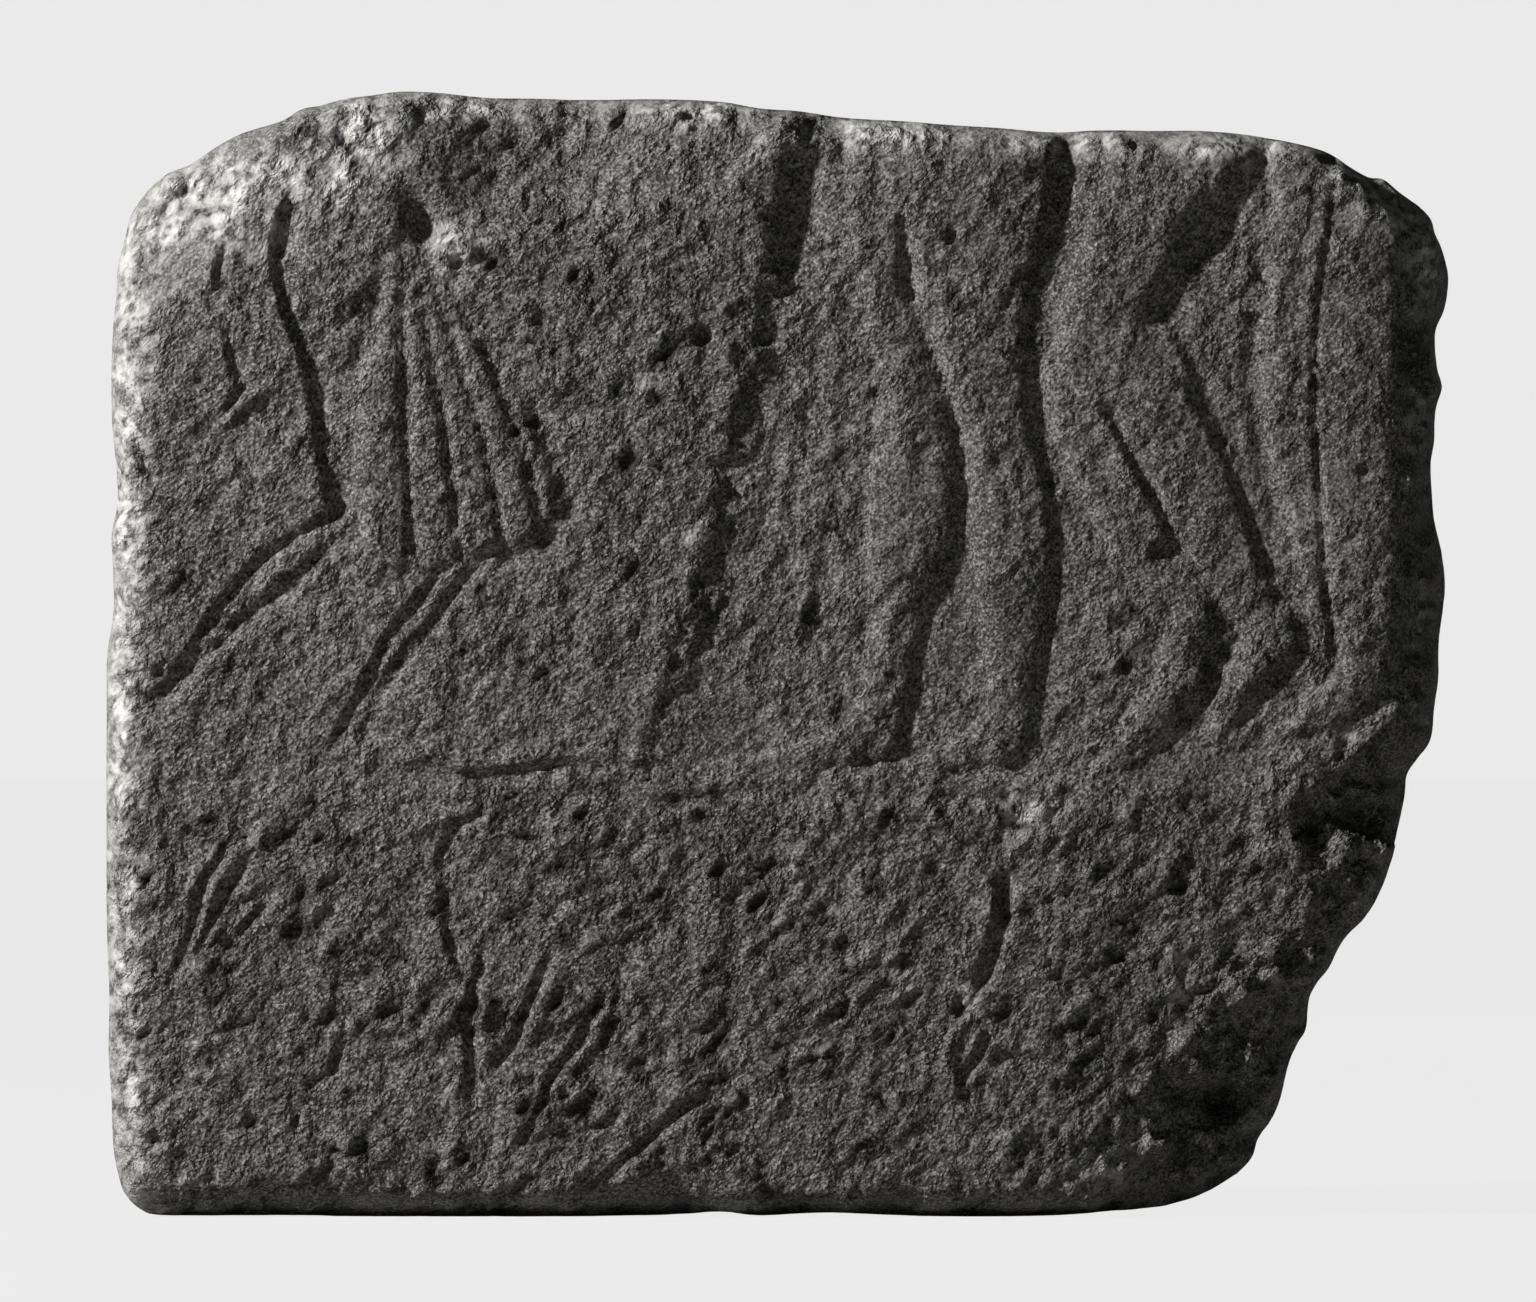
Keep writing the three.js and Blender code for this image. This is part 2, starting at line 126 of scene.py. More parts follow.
class Face:
    """The points of the front and how far each has been carved, in millimetres: minus is into the stone."""

    def __init__(self, points):
        self.x = points[:, 0]
        self.z = points[:, 1]
        self.carved = np.zeros(len(points))

    def near(self, line, reach):
        """Which points lie within reach of a line; how far off, how far to its left, how far past its ends,
        and the strength there."""
        low, high = line[:, :2].min(axis=0) - reach, line[:, :2].max(axis=0) + reach
        beside = (self.x > low[0]) & (self.x < high[0])
        chosen = np.flatnonzero(beside & (self.z > low[1]) & (self.z < high[1]))
        x, z = self.x[chosen], self.z[chosen]
        far = np.full(len(chosen), np.inf)
        aside, past, strength = np.zeros(len(chosen)), np.zeros(len(chosen)), np.zeros(len(chosen))
        widest = np.zeros(len(chosen))
        last = len(line) - 2
        for i in range(len(line) - 1):
            start, end = line[i], line[i + 1]
            length = math.hypot(end[0] - start[0], end[1] - start[1])
            if length == 0:
                continue
            dx, dz = (end[0] - start[0]) / length, (end[1] - start[1]) / length
            along = (x - start[0]) * dx + (z - start[1]) * dz
            off = dx * (z - start[1]) - dz * (x - start[0])
            t = np.clip(along / length, 0, 1)
            here = np.hypot(off, along - t * length)
            level = np.abs(here - far) < SAME_DISTANCE
            closer = (here < far - SAME_DISTANCE) | (level & (np.abs(off) > widest))
            beyond = ((i == 0) & (along < 0)) | ((i == last) & (along > length))
            far = np.where(closer, here, far)
            widest = np.where(closer, np.abs(off), widest)
            aside = np.where(closer, np.where(beyond, off, here * np.where(off >= 0, 1, -1)), aside)
            past = np.where(closer, np.where(beyond, np.abs(along - t * length), 0), past)
            strength = np.where(closer, start[2] + t * (end[2] - start[2]), strength)
        return chosen, far, aside, past, strength

    def line(self, points, half_width, amount):
        """A groove where amount is minus, or a ridge: round across, fading at its ends."""
        chosen, far, _, _, strength = self.near(through(points), half_width)
        self.carved[chosen] += amount * strength * np.clip(1 - (far / half_width) ** 2, 0, 1) ** 1.5

    def cut(self, points, low, depth, wall, reach):
        """A cut outline: a steep wall on the stroke and a slow return on its low side, which is left of
        travel for 1 and right of it for -1."""
        chosen, _, aside, past, strength = self.near(through(points), wall + reach)
        into = aside * low
        fall = ease(into / wall) * (1 - ease((into - wall) / reach)) * (1 - ease(past / CUT_END))
        self.carved[chosen] -= depth * strength * fall

    def spot(self, across, down, half_width, half_height, amount):
        """A round pit where amount is minus, or a lump."""
        x, z = on_face(across, down)
        r = ((self.x - x) / half_width) ** 2 + ((self.z - z) / half_height) ** 2
        self.carved += amount * np.clip(1 - r, 0, 1) ** 2


# The sunk ground behind the right-hand figures. Its depth is in millimetres, its foot a row of pixels, and its
# other sizes are in metres. The wall wanders by two grains, given by size, octaves, seed and reach. The strengths
# of its points are how much deeper the ground is along the wall, in millimetres, and lengthen the wall's run.
RECESS_DEPTH = 1.8
RECESS_SPAN = 0.150
RECESS_FOOT = 796
RECESS_FOOT_FADE = 0.0045
RECESS_FOOT_OF_WALL = 0.016
WALL_GRAINS = ((0.011, 4, 5.0, 0.0030), (0.0036, 3, 7.0, 0.0016))
WALL_RUN = 0.0046
WALL_RUN_PER_STRENGTH = 0.0016
WALL_RUN_LIMITS = (0.0026, 0.0080)
RECESS_WALL = [
    (790, 80, 1.4), (794, 135, 1.6), (778, 165, 1.8), (768, 195, 1.8), (764, 240, 1.5), (758, 280, 1.1),
    (752, 320, 0.7), (746, 360, 0.5), (736, 400, 0.3), (726, 420, 0.3), (720, 445, 0.3), (714, 470, 0.2),
    (708, 500, 0.2), (702, 525, 0.3), (694, 545, 0.6), (688, 570, 0.9), (687, 600, 0.8), (686, 625, 0.3),
    (690, 650, -0.3), (672, 680, -0.7), (665, 700, -0.6), (655, 720, -0.6), (645, 745, -1.0),
    (640, 772, -1.2), (634, 800, -1.2),
]

# Limbs and pleats are higher on their left than on their right, by this share. Their height in millimetres is
# the least of their own and of what their half-width allows: a share of it and a part that all have.
LEAN = 0.40
LIMB_REACH = 0.018
LIMB_SWELL = (0.24, 0.50)
PLEAT_REACH = 0.006
PLEAT_SWELL = (0.34, 0.0)
PLEAT_HEIGHT = 1.3

# Each limb: across, down and half-width in millimetres of its points, then its height
LIMBS = {
    "robed_leg": ([(874, 110, 5.4), (874, 150, 5.4), (875, 200, 5.5), (882, 260, 5.6), (891, 300, 5.6),
                   (901, 345, 6.0), (911, 390, 6.6), (915, 430, 7.6), (913, 470, 8.4), (911, 520, 8.8),
                   (904, 560, 7.8), (897, 600, 6.0), (892, 650, 4.8), (886, 700, 4.4),
                   (878, 735, 4.8)], 2.8),
    "robed_foot": ([(880, 715, 5.0), (854, 738, 4.6), (820, 752, 3.2), (783, 760, 2.2), (743, 767, 1.5),
                    (710, 770, 1.0)], 2.2),
    "rear_leg": ([(981, 96, 15.8), (980, 150, 15.6), (976, 200, 15.0), (973, 250, 13.4), (972, 290, 12.2),
                  (977, 330, 10.4), (986, 380, 8.4), (996, 430, 7.0), (1006, 475, 7.6), (1012, 520, 8.6),
                  (1014, 570, 8.0), (1014, 620, 6.8), (1012, 670, 5.6), (1008, 715, 5.0),
                  (1000, 740, 5.4)], 2.8),
    "rear_foot": ([(1004, 730, 5.4), (975, 748, 3.8), (940, 760, 2.6), (905, 768, 1.8),
                   (880, 772, 1.0)], 2.2),
    "bowing_thigh": ([(1188, 105, 15.4), (1186, 150, 15.2), (1168, 190, 13.6), (1145, 230, 11.8),
                      (1128, 270, 10.6), (1114, 305, 10.0), (1106, 335, 9.8), (1106, 365, 9.4)], 3.5),
    "bowing_front_shin": ([(1131, 350, 9.4), (1156, 400, 9.0), (1176, 440, 8.6), (1196, 480, 8.0),
                           (1211, 520, 7.4), (1227, 555, 6.6), (1245, 590, 5.6), (1263, 618, 4.8),
                           (1277, 640, 4.2)], 2.9),
    "bowing_front_foot": ([(1275, 632, 4.8), (1257, 662, 4.6), (1237, 690, 3.8), (1223, 716, 2.8),
                           (1213, 740, 1.4)], 2.6),
    "bowing_rear_shin": ([(1063, 370, 4.8), (1077, 420, 5.6), (1099, 465, 6.2), (1123, 510, 6.2),
                          (1147, 550, 5.2), (1173, 578, 4.2), (1197, 600, 3.8)], 2.5),
    "bowing_rear_foot": ([(1197, 596, 4.0), (1193, 635, 4.8), (1179, 680, 5.2), (1157, 722, 4.4),
                          (1127, 752, 2.8), (1101, 766, 1.4)], 2.5),
    "last_front_leg": ([(1302, 150, 6.2), (1304, 210, 6.2), (1296, 280, 5.6), (1290, 340, 5.2),
                        (1291, 400, 5.2), (1295, 450, 4.6), (1303, 500, 3.8), (1311, 550, 3.0),
                        (1320, 605, 2.2), (1327, 645, 1.6)], 2.5),
    "last_rear_leg": ([(1366, 160, 6.0), (1366, 220, 7.2), (1360, 300, 8.2), (1358, 380, 8.6),
                       (1359, 460, 8.2), (1364, 540, 7.8), (1368, 620, 7.0), (1370, 670, 6.2)], 2.7),
    "last_foot": ([(1368, 670, 6.0), (1340, 700, 4.6), (1312, 714, 3.4), (1288, 728, 2.0)], 2.2),
}

# Cut outlines of the sunk figure at the left: points, low side, depth in millimetres, wall and return in metres
CUTS = {
    "bowing_back": ([(282, 180, 0.5), (279, 200, 0.8), (273, 225), (268, 260), (273, 290), (280, 315),
                     (293, 345), (304, 380), (310, 415), (314, 450), (320, 480),
                     (327, 508)], 1, 1.8, 0.0014, 0.0080),
    "front_shin_top": ([(331, 508), (300, 525), (270, 545), (245, 565, 1.1), (225, 590, 1.1),
                        (205, 615, 1.1), (190, 640, 1.1), (172, 665, 1.1), (158, 684, 1.0),
                        (138, 700, 0.6)], 1, 1.4, 0.0012, 0.0036),
    "front_shin_foot": ([(352, 546, 0.3), (330, 565, 0.7), (310, 585), (285, 605), (260, 625), (235, 645),
                         (215, 665), (198, 682), (186, 698, 0.8)], -1, 1.4, 0.0024, 0.0030),
    "rear_shin_top": ([(434, 566, 0.6), (419, 588, 1.0), (394, 618, 1.1), (379, 640, 1.1), (369, 660, 1.1),
                       (359, 680, 1.1), (349, 700, 1.0), (339, 720, 0.9),
                       (326, 740, 0.7)], 1, 1.4, 0.0012, 0.0036),
    "rear_shin_foot": ([(486, 572, 0.6), (479, 582, 0.9), (462, 605), (444, 630), (424, 655), (404, 680),
                        (389, 705), (378, 732, 0.8)], -1, 1.4, 0.0024, 0.0030),
    "kilt_edge": ([(470, 278, 0.2), (488, 305, 0.5), (510, 340, 0.8), (530, 370, 0.9), (548, 400, 0.9),
                   (560, 440, 0.9), (571, 470, 0.9), (584, 500, 1.0), (576, 530, 1.0), (551, 555, 0.9),
                   (520, 571, 0.9), (490, 574, 0.8)], -1, 1.6, 0.0030, 0.0046),
    "kilt_front": ([(398, 250, 0.2), (392, 290, 0.5), (380, 320, 0.7), (371, 350, 0.8), (365, 390, 0.8),
                    (362, 430, 0.8), (360, 480, 0.8), (352, 515, 0.7),
                    (338, 536, 0.5)], -1, 1.2, 0.0020, 0.0050),
}

# A hollow at the top between the kilt and the sunk ground: steep on its left, slow on its right
TOP_HOLLOW = ([(398, 50, 1.0), (402, 120, 1.0), (408, 165, 0.9), (418, 205, 0.6), (430, 246, 0.3)],
              1, 5.0, 0.0190, 0.050)

# The pleats of the kilt: across, down, half-width in millimetres
PLEATS = [
    [(399, 256, 1.0), (391, 300, 1.8), (386, 345, 2.7), (384, 400, 3.7), (384, 450, 4.3), (385, 500, 4.7),
     (386, 548, 4.8)],
    [(409, 256, 1.0), (414, 300, 1.6), (419, 345, 2.2), (425, 400, 3.1), (428, 450, 3.7), (432, 500, 3.9),
     (437, 550, 3.9)],
    [(419, 256, 1.0), (431, 300, 1.6), (443, 345, 2.2), (456, 400, 2.9), (467, 450, 3.5), (476, 500, 3.9),
     (484, 550, 3.9)],
    [(429, 258, 1.0), (449, 300, 1.6), (468, 345, 2.2), (487, 400, 2.8), (504, 450, 3.3), (515, 500, 3.6),
     (524, 545, 3.4)],
    [(440, 266, 1.0), (468, 305, 1.4), (497, 350, 1.8), (522, 400, 2.3), (541, 450, 2.6), (556, 500, 2.4)],
]

# Grooves and ridges: points, half-width in metres, amount in millimetres
KILT_LINES = {
    "fold_1": ([(404, 262, 0.5), (403, 300), (403, 345), (404, 400), (406, 450), (409, 500),
                (412, 552, 0.6)], 0.0016, -0.30),
    "fold_2": ([(414, 262, 0.5), (423, 300), (431, 345), (440, 400), (447, 450), (453, 500),
                (460, 555, 0.6)], 0.0016, -0.30),
    "fold_3": ([(424, 262, 0.5), (440, 300), (455, 345), (471, 400), (486, 450), (496, 500),
                (505, 552, 0.6)], 0.0016, -0.30),
    "fold_4": ([(434, 262, 0.5), (458, 300), (482, 345), (505, 400), (523, 450), (536, 500),
                (543, 530, 0.6)], 0.0016, -0.30),
    "waist": ([(408, 200, 0.6), (422, 222), (432, 244, 0.5)], 0.0034, -1.6),
    "hem": ([(462, 556, 0.5), (480, 554), (505, 549), (530, 542, 0.5)], 0.0016, -0.6),
}

FOLDS = {
    "robe_fold": ([(844, 300, 0.3), (844, 350), (842, 400), (839, 450), (834, 480), (828, 520), (821, 570),
                   (814, 610), (809, 650), (804, 695, 0.4)], 0.0020, -0.25),
    "robe_ridge": ([(834, 300, 0.3), (834, 350), (832, 400), (829, 450), (823, 500), (812, 560), (804, 610),
                    (798, 660, 0.4)], 0.0026, 0.45),
    "robe_fold_2": ([(784, 460, 0.3), (771, 500), (763, 535, 0.4)], 0.0014, -0.5),
    "robe_fold_3": ([(820, 500, 0.2), (826, 560), (830, 620, 0.2)], 0.0018, -0.2),
    "robe_fold_5": ([(796, 330, 0.3), (786, 400), (772, 470), (754, 560), (742, 620, 0.3)], 0.0024, -0.4),
    "robe_fold_4": ([(814, 320, 0.2), (806, 420, 0.8), (792, 520, 0.8), (774, 620, 0.8),
                     (758, 700, 0.3)], 0.0026, -0.4),
    "leg_web": ([(906, 80, 1.0), (906, 160, 1.0), (907, 205, 0.9), (908, 240, 0.4)], 0.0060, 2.2),
    "shin_web": ([(1072, 350, 0.8), (1104, 402), (1120, 432), (1136, 464), (1152, 496),
                  (1168, 524, 0.7)], 0.0045, 1.3),
    "last_web": ([(1334, 150, 0.8), (1322, 250), (1315, 320), (1314, 400), (1318, 480),
                  (1326, 560, 0.6)], 0.0034, 1.2),
    "robe_line": ([(898, 266, 0.5), (929, 338), (953, 400), (960, 445), (962, 526), (951, 580), (934, 615),
                   (922, 651), (913, 705), (906, 745, 0.6)], 0.0015, -0.45),
    "leg_line": ([(1040, 330, 0.6), (1040, 374), (1044, 454), (1053, 508), (1056, 562), (1049, 633),
                  (1042, 687), (1038, 752, 0.6)], 0.0014, -0.45),
    "leg_channel": ([(904, 222), (908, 255), (913, 292, 0.6)], 0.0026, -1.0),
    "calf_line": ([(991, 425, 0.4), (996, 450), (1002, 475), (1010, 505), (1014, 545, 0.4)], 0.0014, -0.2),
    "calf_ridge": ([(976, 415, 0.4), (984, 450), (994, 490), (1004, 540, 0.4)], 0.0022, 0.5),
    "shin_valley": ([(1082, 365, 0.5), (1105, 400), (1120, 430), (1135, 460), (1150, 490), (1165, 512),
                     (1176, 545, 0.8)], 0.0017, -0.7),
    "deep_channel": ([(1082, 100, 1.3), (1070, 150, 1.4), (1064, 190, 1.3), (1058, 230, 1.1),
                      (1050, 270, 0.8), (1042, 310, 0.5)], 0.0038, -1.0),
    "wedge": ([(1256, 150, 0.7), (1238, 180), (1214, 218), (1192, 252), (1172, 286), (1158, 318),
               (1148, 350, 0.3)], 0.0044, -1.0),
    "knee_line": ([(1156, 350, 0.5), (1180, 372), (1204, 410), (1230, 470), (1252, 525),
                   (1270, 568, 0.5)], 0.0016, -0.5),
    "last_edge": ([(1262, 220, 0.4), (1256, 290), (1252, 345), (1254, 400), (1262, 460),
                   (1278, 520, 0.4)], 0.0022, -0.6),
    "last_line": ([(1338, 220, 0.6), (1325, 260), (1320, 300), (1317, 350), (1315, 400), (1318, 450),
                   (1320, 500), (1323, 550), (1328, 600), (1335, 640), (1340, 682, 0.5)], 0.0014, -0.5),
    "thin_ridge": ([(1243, 228, 0.3), (1250, 270), (1257, 295), (1262, 312, 0.4)], 0.0014, 0.7),
    "heel_shade": ([(1313, 636, 0.6), (1293, 664), (1267, 690), (1243, 716, 0.5)], 0.0024, -0.8),
    "heel_shade_2": ([(1237, 640, 0.5), (1205, 698), (1165, 742, 0.5)], 0.0026, -0.7),
    "ground_line": ([(320, 764, 0.4), (400, 771), (480, 776), (560, 766), (640, 769, 0.6)], 0.0018, -0.75),
    "ground_ridge": ([(386, 745, 0.5), (430, 757), (478, 765), (560, 756), (636, 760, 0.6)], 0.0018, 0.9),
    "foot_band": ([(640, 792, 0.3), (700, 784), (760, 776), (860, 776), (1000, 782),
                   (1100, 778, 0.3)], 0.0020, 1.0),
    "foot_groove": ([(660, 804, 0.3), (760, 794), (860, 796), (960, 800), (1080, 796, 0.3)], 0.0018, -1.2),
}

# The worn lower register and the marks round the edges: grooves and ridges as above. Each is made stronger by
# the weight, and each groove has a low lip on both sides, wider than itself and a share of its depth.
STROKE_WEIGHT = 1.45
LIP_WIDTH = 2.6
LIP_HEIGHT = 0.45
STROKES = {
    "leaf_outer": ([(254, 833, 0.5), (225, 855), (205, 880), (195, 920), (185, 950),
                    (168, 984, 0.5)], 0.0016, -1.0),
    "leaf_inner": ([(252, 848, 0.5), (235, 880), (220, 905), (205, 935), (190, 964, 0.5)], 0.0014, -0.9),
    "leaf_ridge": ([(240, 846, 0.5), (216, 880), (205, 915), (194, 950, 0.5)], 0.0012, 0.5),
    "tick": ([(264, 906), (240, 932)], 0.0013, -0.9),
    "arc": ([(208, 1037, 0.5), (240, 1025), (264, 1019, 0.5)], 0.0014, -0.8),
    "stem": ([(346, 1028, 0.5), (337, 1060), (334, 1078, 0.5)], 0.0014, -0.9),
    "stem_foot": ([(334, 1070), (308, 1088)], 0.0013, -0.7),
    "vee_top": ([(482, 795, 0.5), (480, 815), (456, 826), (440, 862, 0.5)], 0.0016, -0.9),
    "vee_left": ([(440, 862, 0.5), (447, 900), (452, 945), (470, 985, 0.6)], 0.0018, -1.1),
    "vee_right": ([(484, 955, 0.5), (476, 985), (470, 1020), (472, 1060), (471, 1102, 0.5)], 0.0018, -1.2),
    "reed_1": ([(548, 960, 0.5), (535, 990), (525, 1015), (515, 1040), (498, 1064, 0.8)], 0.0017, -1.2),
    "reed_2": ([(602, 996, 0.5), (580, 1040), (565, 1060), (550, 1080), (545, 1100), (535, 1120),
                (522, 1142, 0.5)], 0.0017, -1.1),
    "reed_3": ([(722, 1093, 0.5), (690, 1105), (660, 1130), (640, 1150), (620, 1165),
                (598, 1192, 0.5)], 0.0018, -1.1),
    "reed_ridge": ([(560, 975, 0.4), (540, 1020), (524, 1050, 0.4)], 0.0016, 0.5),
    "reed_ridge_2": ([(616, 1008, 0.4), (590, 1050), (560, 1090, 0.4)], 0.0016, 0.5),
    "gouge": ([(1003, 880, 0.6), (1004, 900), (1001, 925), (994, 950), (982, 980, 0.6)], 0.0024, -2.2),
    "gouge_tail": ([(962, 1000), (960, 1012)], 0.0018, -1.2),
    "scar": ([(987, 1038, 0.6), (978, 1058), (963, 1078, 0.6)], 0.0018, -1.3),
    "scar_ridge": ([(976, 998, 0.5), (956, 1030), (950, 1070), (955, 1098, 0.5)], 0.0018, 0.8),
    "shelf": ([(998, 1060, 0.6), (1020, 1057), (1044, 1062, 0.5)], 0.0016, -1.0),
    "band_line": ([(498, 834, 0.5), (530, 838), (562, 834, 0.5)], 0.0013, -0.8),
    "crack": ([(528, 338, 0.6), (545, 346), (562, 352, 0.5)], 0.0012, -1.0),
    "step": ([(224, 248, 0.6), (219, 270), (217, 292, 0.5)], 0.0014, -1.1),
    "hand_1": ([(227, 328, 0.5), (230, 350), (236, 372), (244, 386, 0.7)], 0.0015, -1.1),
    "hand_2": ([(244, 386, 0.7), (233, 402), (220, 420, 0.4)], 0.0014, -1.0),
    "hand_ridge": ([(224, 421, 0.4), (245, 401), (264, 390), (291, 378, 0.4)], 0.0014, 0.6),
    "upper_streak": ([(1330, 158, 0.4), (1360, 172), (1384, 190), (1398, 214, 0.4)], 0.0018, -1.4),
    "left_nick": ([(138, 436, 0.5), (144, 460), (150, 484, 0.5)], 0.0020, -1.4),
}

# Pits (minus) and lumps: across, down, half-width, half-height and amount in millimetres
SPOTS = [
    (456, 248, 5.6, 6.0, 2.4), (348, 244, 17.0, 17.0, 1.9), (457, 262, 1.7, 1.9, -3.4),
    (262, 218, 1.8, 1.6, -1.3), (340, 328, 0.9, 0.9, -1.2), (290, 318, 1.4, 1.2, -0.9),
    (620, 375, 1.8, 1.0, -0.9), (703, 337, 3.2, 3.4, -3.6), (727, 350, 2.4, 4.4, 1.4),
    (470, 330, 1.4, 1.2, -0.8), (555, 492, 2.0, 3.0, -1.3), (555, 445, 1.1, 1.2, -1.0),
    (952, 238, 1.7, 2.6, -1.6), (946, 271, 1.0, 1.1, -1.2), (1105, 187, 1.1, 1.7, -1.2),
    (1168, 552, 4.4, 3.0, -2.2), (1210, 607, 1.3, 1.3, -1.4), (1295, 415, 1.3, 1.3, -1.2),
    (1365, 470, 1.7, 1.7, -1.4), (1385, 690, 1.9, 1.9, -1.6), (495, 1060, 1.6, 1.3, -1.2),
    (1050, 900, 1.6, 1.4, -1.3), (1095, 905, 1.5, 1.3, -1.2), (1120, 960, 2.2, 1.4, -1.4),
    (845, 970, 1.3, 1.2, -1.1), (845, 990, 1.2, 1.2, -1.0), (145, 1035, 1.6, 1.5, -1.4),
    (175, 1030, 1.2, 1.2, -1.0), (155, 1140, 1.7, 1.6, -1.4), (165, 845, 1.4, 1.4, -1.2),
    (250, 1120, 1.4, 2.2, -1.0), (160, 672, 1.7, 1.5, -1.6), (140, 700, 1.3, 1.3, -1.2),
    (480, 870, 0.9, 0.9, -0.8), (440, 1160, 0.9, 0.9, -0.8), (700, 768, 2.4, 1.4, 0.6),
    (886, 768, 2.2, 1.4, 0.6), (1222, 1102, 7.6, 5.6, -10.0), (1190, 1040, 4.5, 3.4, 3.0),
    (1240, 990, 4.6, 4.0, 3.6), (1275, 950, 3.6, 3.0, 3.2), (1160, 1150, 5.0, 4.0, 3.4),
    (1150, 1085, 3.0, 3.6, 1.6), (1205, 1165, 4.6, 3.2, 3.0), (1310, 905, 3.6, 4.0, 3.2),
    (1345, 850, 3.8, 4.4, 3.0), (1330, 800, 3.0, 2.6, 2.2), (1255, 1050, 3.6, 3.4, 3.2),
    (1195, 1085, 4.0, 3.4, -3.0), (1175, 980, 1.6, 4.0, 0.9), (1092, 1130, 1.4, 2.4, 0.8),
    (1030, 1015, 1.4, 1.2, -1.1), (250, 280, 6.4, 9.0, -0.9), (1218, 235, 11.0, 11.0, -1.6),
    (425, 220, 5.0, 7.0, -1.8), (272, 185, 4.2, 4.0, -1.6), (792, 222, 8.5, 17.0, -1.9),
    (1062, 180, 5.0, 9.0, -1.2),
]

# Places where the face has broken away: how fast it falls, in millimetres for each millimetre past the line
BROKEN_RIGHT = [
    (1372, 96, 0.35), (1384, 150, 0.4), (1394, 200, 0.5), (1399, 250, 0.7), (1399, 300, 1.0),
    (1397, 350, 1.2), (1401, 420, 1.4), (1399, 500, 1.5), (1400, 560, 1.5), (1398, 620, 1.5),
    (1394, 660, 1.4), (1392, 690, 1.3), (1395, 712, 1.5), (1376, 740, 1.3), (1350, 756, 1.2),
    (1322, 772, 1.0), (1300, 782, 0.9), (1288, 805, 0.7), (1285, 832, 0.55), (1292, 860, 0.45),
    (1302, 890, 0.42), (1286, 915, 0.42), (1258, 932, 0.45), (1236, 946, 0.50), (1216, 972, 0.50),
    (1196, 1008, 0.55), (1168, 1038, 0.62), (1146, 1062, 0.68), (1134, 1100, 0.74), (1116, 1130, 0.78),
    (1100, 1152, 0.8), (1086, 1184, 0.8), (1076, 1240, 0.8),
]
WORN_CORNER = [
    (40, 410, 0.36), (108, 386, 0.44), (150, 336, 0.54), (200, 290, 0.58), (246, 246, 0.58),
    (282, 200, 0.54), (318, 156, 0.46), (350, 60, 0.40),
]
WORN_TOP = [
    (280, 176, 0.25), (360, 196, 0.25), (430, 196, 0.26), (500, 236, 0.36), (580, 250, 0.40),
    (660, 228, 0.40), (740, 190, 0.40), (800, 152, 0.34), (1000, 158, 0.34), (1200, 164, 0.36),
    (1300, 176, 0.42), (1400, 240, 0.5),
]
WORN_BED = [
    (60, 1176, 0.5), (180, 1186, 0.7), (300, 1172, 0.8), (330, 1162, 0.8), (370, 1184, 0.8),
    (500, 1190, 0.8), (580, 1182, 0.8), (640, 1172, 0.8), (670, 1156, 0.8), (704, 1168, 0.8),
    (740, 1186, 0.8), (800, 1176, 0.8), (830, 1188, 0.8), (895, 1180, 0.8), (940, 1192, 0.8),
    (1010, 1188, 0.8), (1060, 1184, 0.8), (1100, 1184, 0.8),
]
WORN_LEFT = [
    (146, 1240, 0.5), (140, 1150, 0.5), (132, 1050, 0.5), (136, 950, 0.45), (130, 850, 0.5),
    (134, 740, 0.5), (150, 640, 0.5), (146, 560, 0.5), (150, 470, 0.5), (140, 400, 0.45), (138, 300, 0.4),
]
WORN_RIGHT = [
    (1196, 740, 0.02), (1150, 800, 0.08), (1110, 880, 0.12), (1080, 960, 0.13), (1050, 1050, 0.13),
    (1020, 1140, 0.13), (1000, 1250, 0.13),
]
BREAK_REACH = 0.060
MOST_BROKEN = 30.0

# Each worn edge: its line, its low side, and how much it is rounded where it starts to fall, in millimetres
WORN_EDGES = (
    (BROKEN_RIGHT, 1, 0.0), (WORN_CORNER, 1, 6.0), (WORN_TOP, 1, 2.0),
    (WORN_BED, -1, 1.5), (WORN_LEFT, 1, 1.5), (WORN_RIGHT, 1, 4.0))

# The pixels where the lower register and the right-hand figures begin, and how slowly they do, in metres
GROUND_LINE = 770
FIRST_FIGURE = 840
AREA_FADE = 0.012

# The flakes of the stone lie along this direction and are drawn out along it
SLANT = (0.76, 0.65)
FLAKE_STRETCH = 0.62

# Patches of smoother or rougher stone: across, down, half-width and half-height in metres, change in roughness
RAGGED_FEET = (1270, 690, 0.028, 0.018)
PATCHES = {
    "flaky_ground": (600, 350, 0.026, 0.040, 0.55),
    "smooth_scoop": (450, 160, 0.011, 0.013, -0.70),
    "smooth_corner": (200, 220, 0.016, 0.016, -0.45),
    "smooth_ground": (705, 715, 0.012, 0.012, -0.50),
    "ragged_feet": (*RAGGED_FEET, 0.50),
}

# The grains of the front: size in metres, octaves and seed
SWELLS = (0.020, 2, 1.0)
LUMPS = (0.0080, 2, 21.0)
FLAKES = (0.0040, 2, 9.0)
CRUMBS = (0.0022, 2, 17.0)
CREASES = (0.0046, 2, 33.0)
PITS = (0.0028, 11.0)
CLUMPS = (0.0090, 2, 57.0)
ROUGHER_AREAS = (0.026, 2, 53.0)
BUMPIER_AREAS = (0.0055, 2, 67.0)
CRUMBLE = (0.009, 3, 41.0)
LOOSE_LUMPS = (0.014, 3, 47.0)
LOOSE_CRUMBS = (0.0052, 3, 51.0)

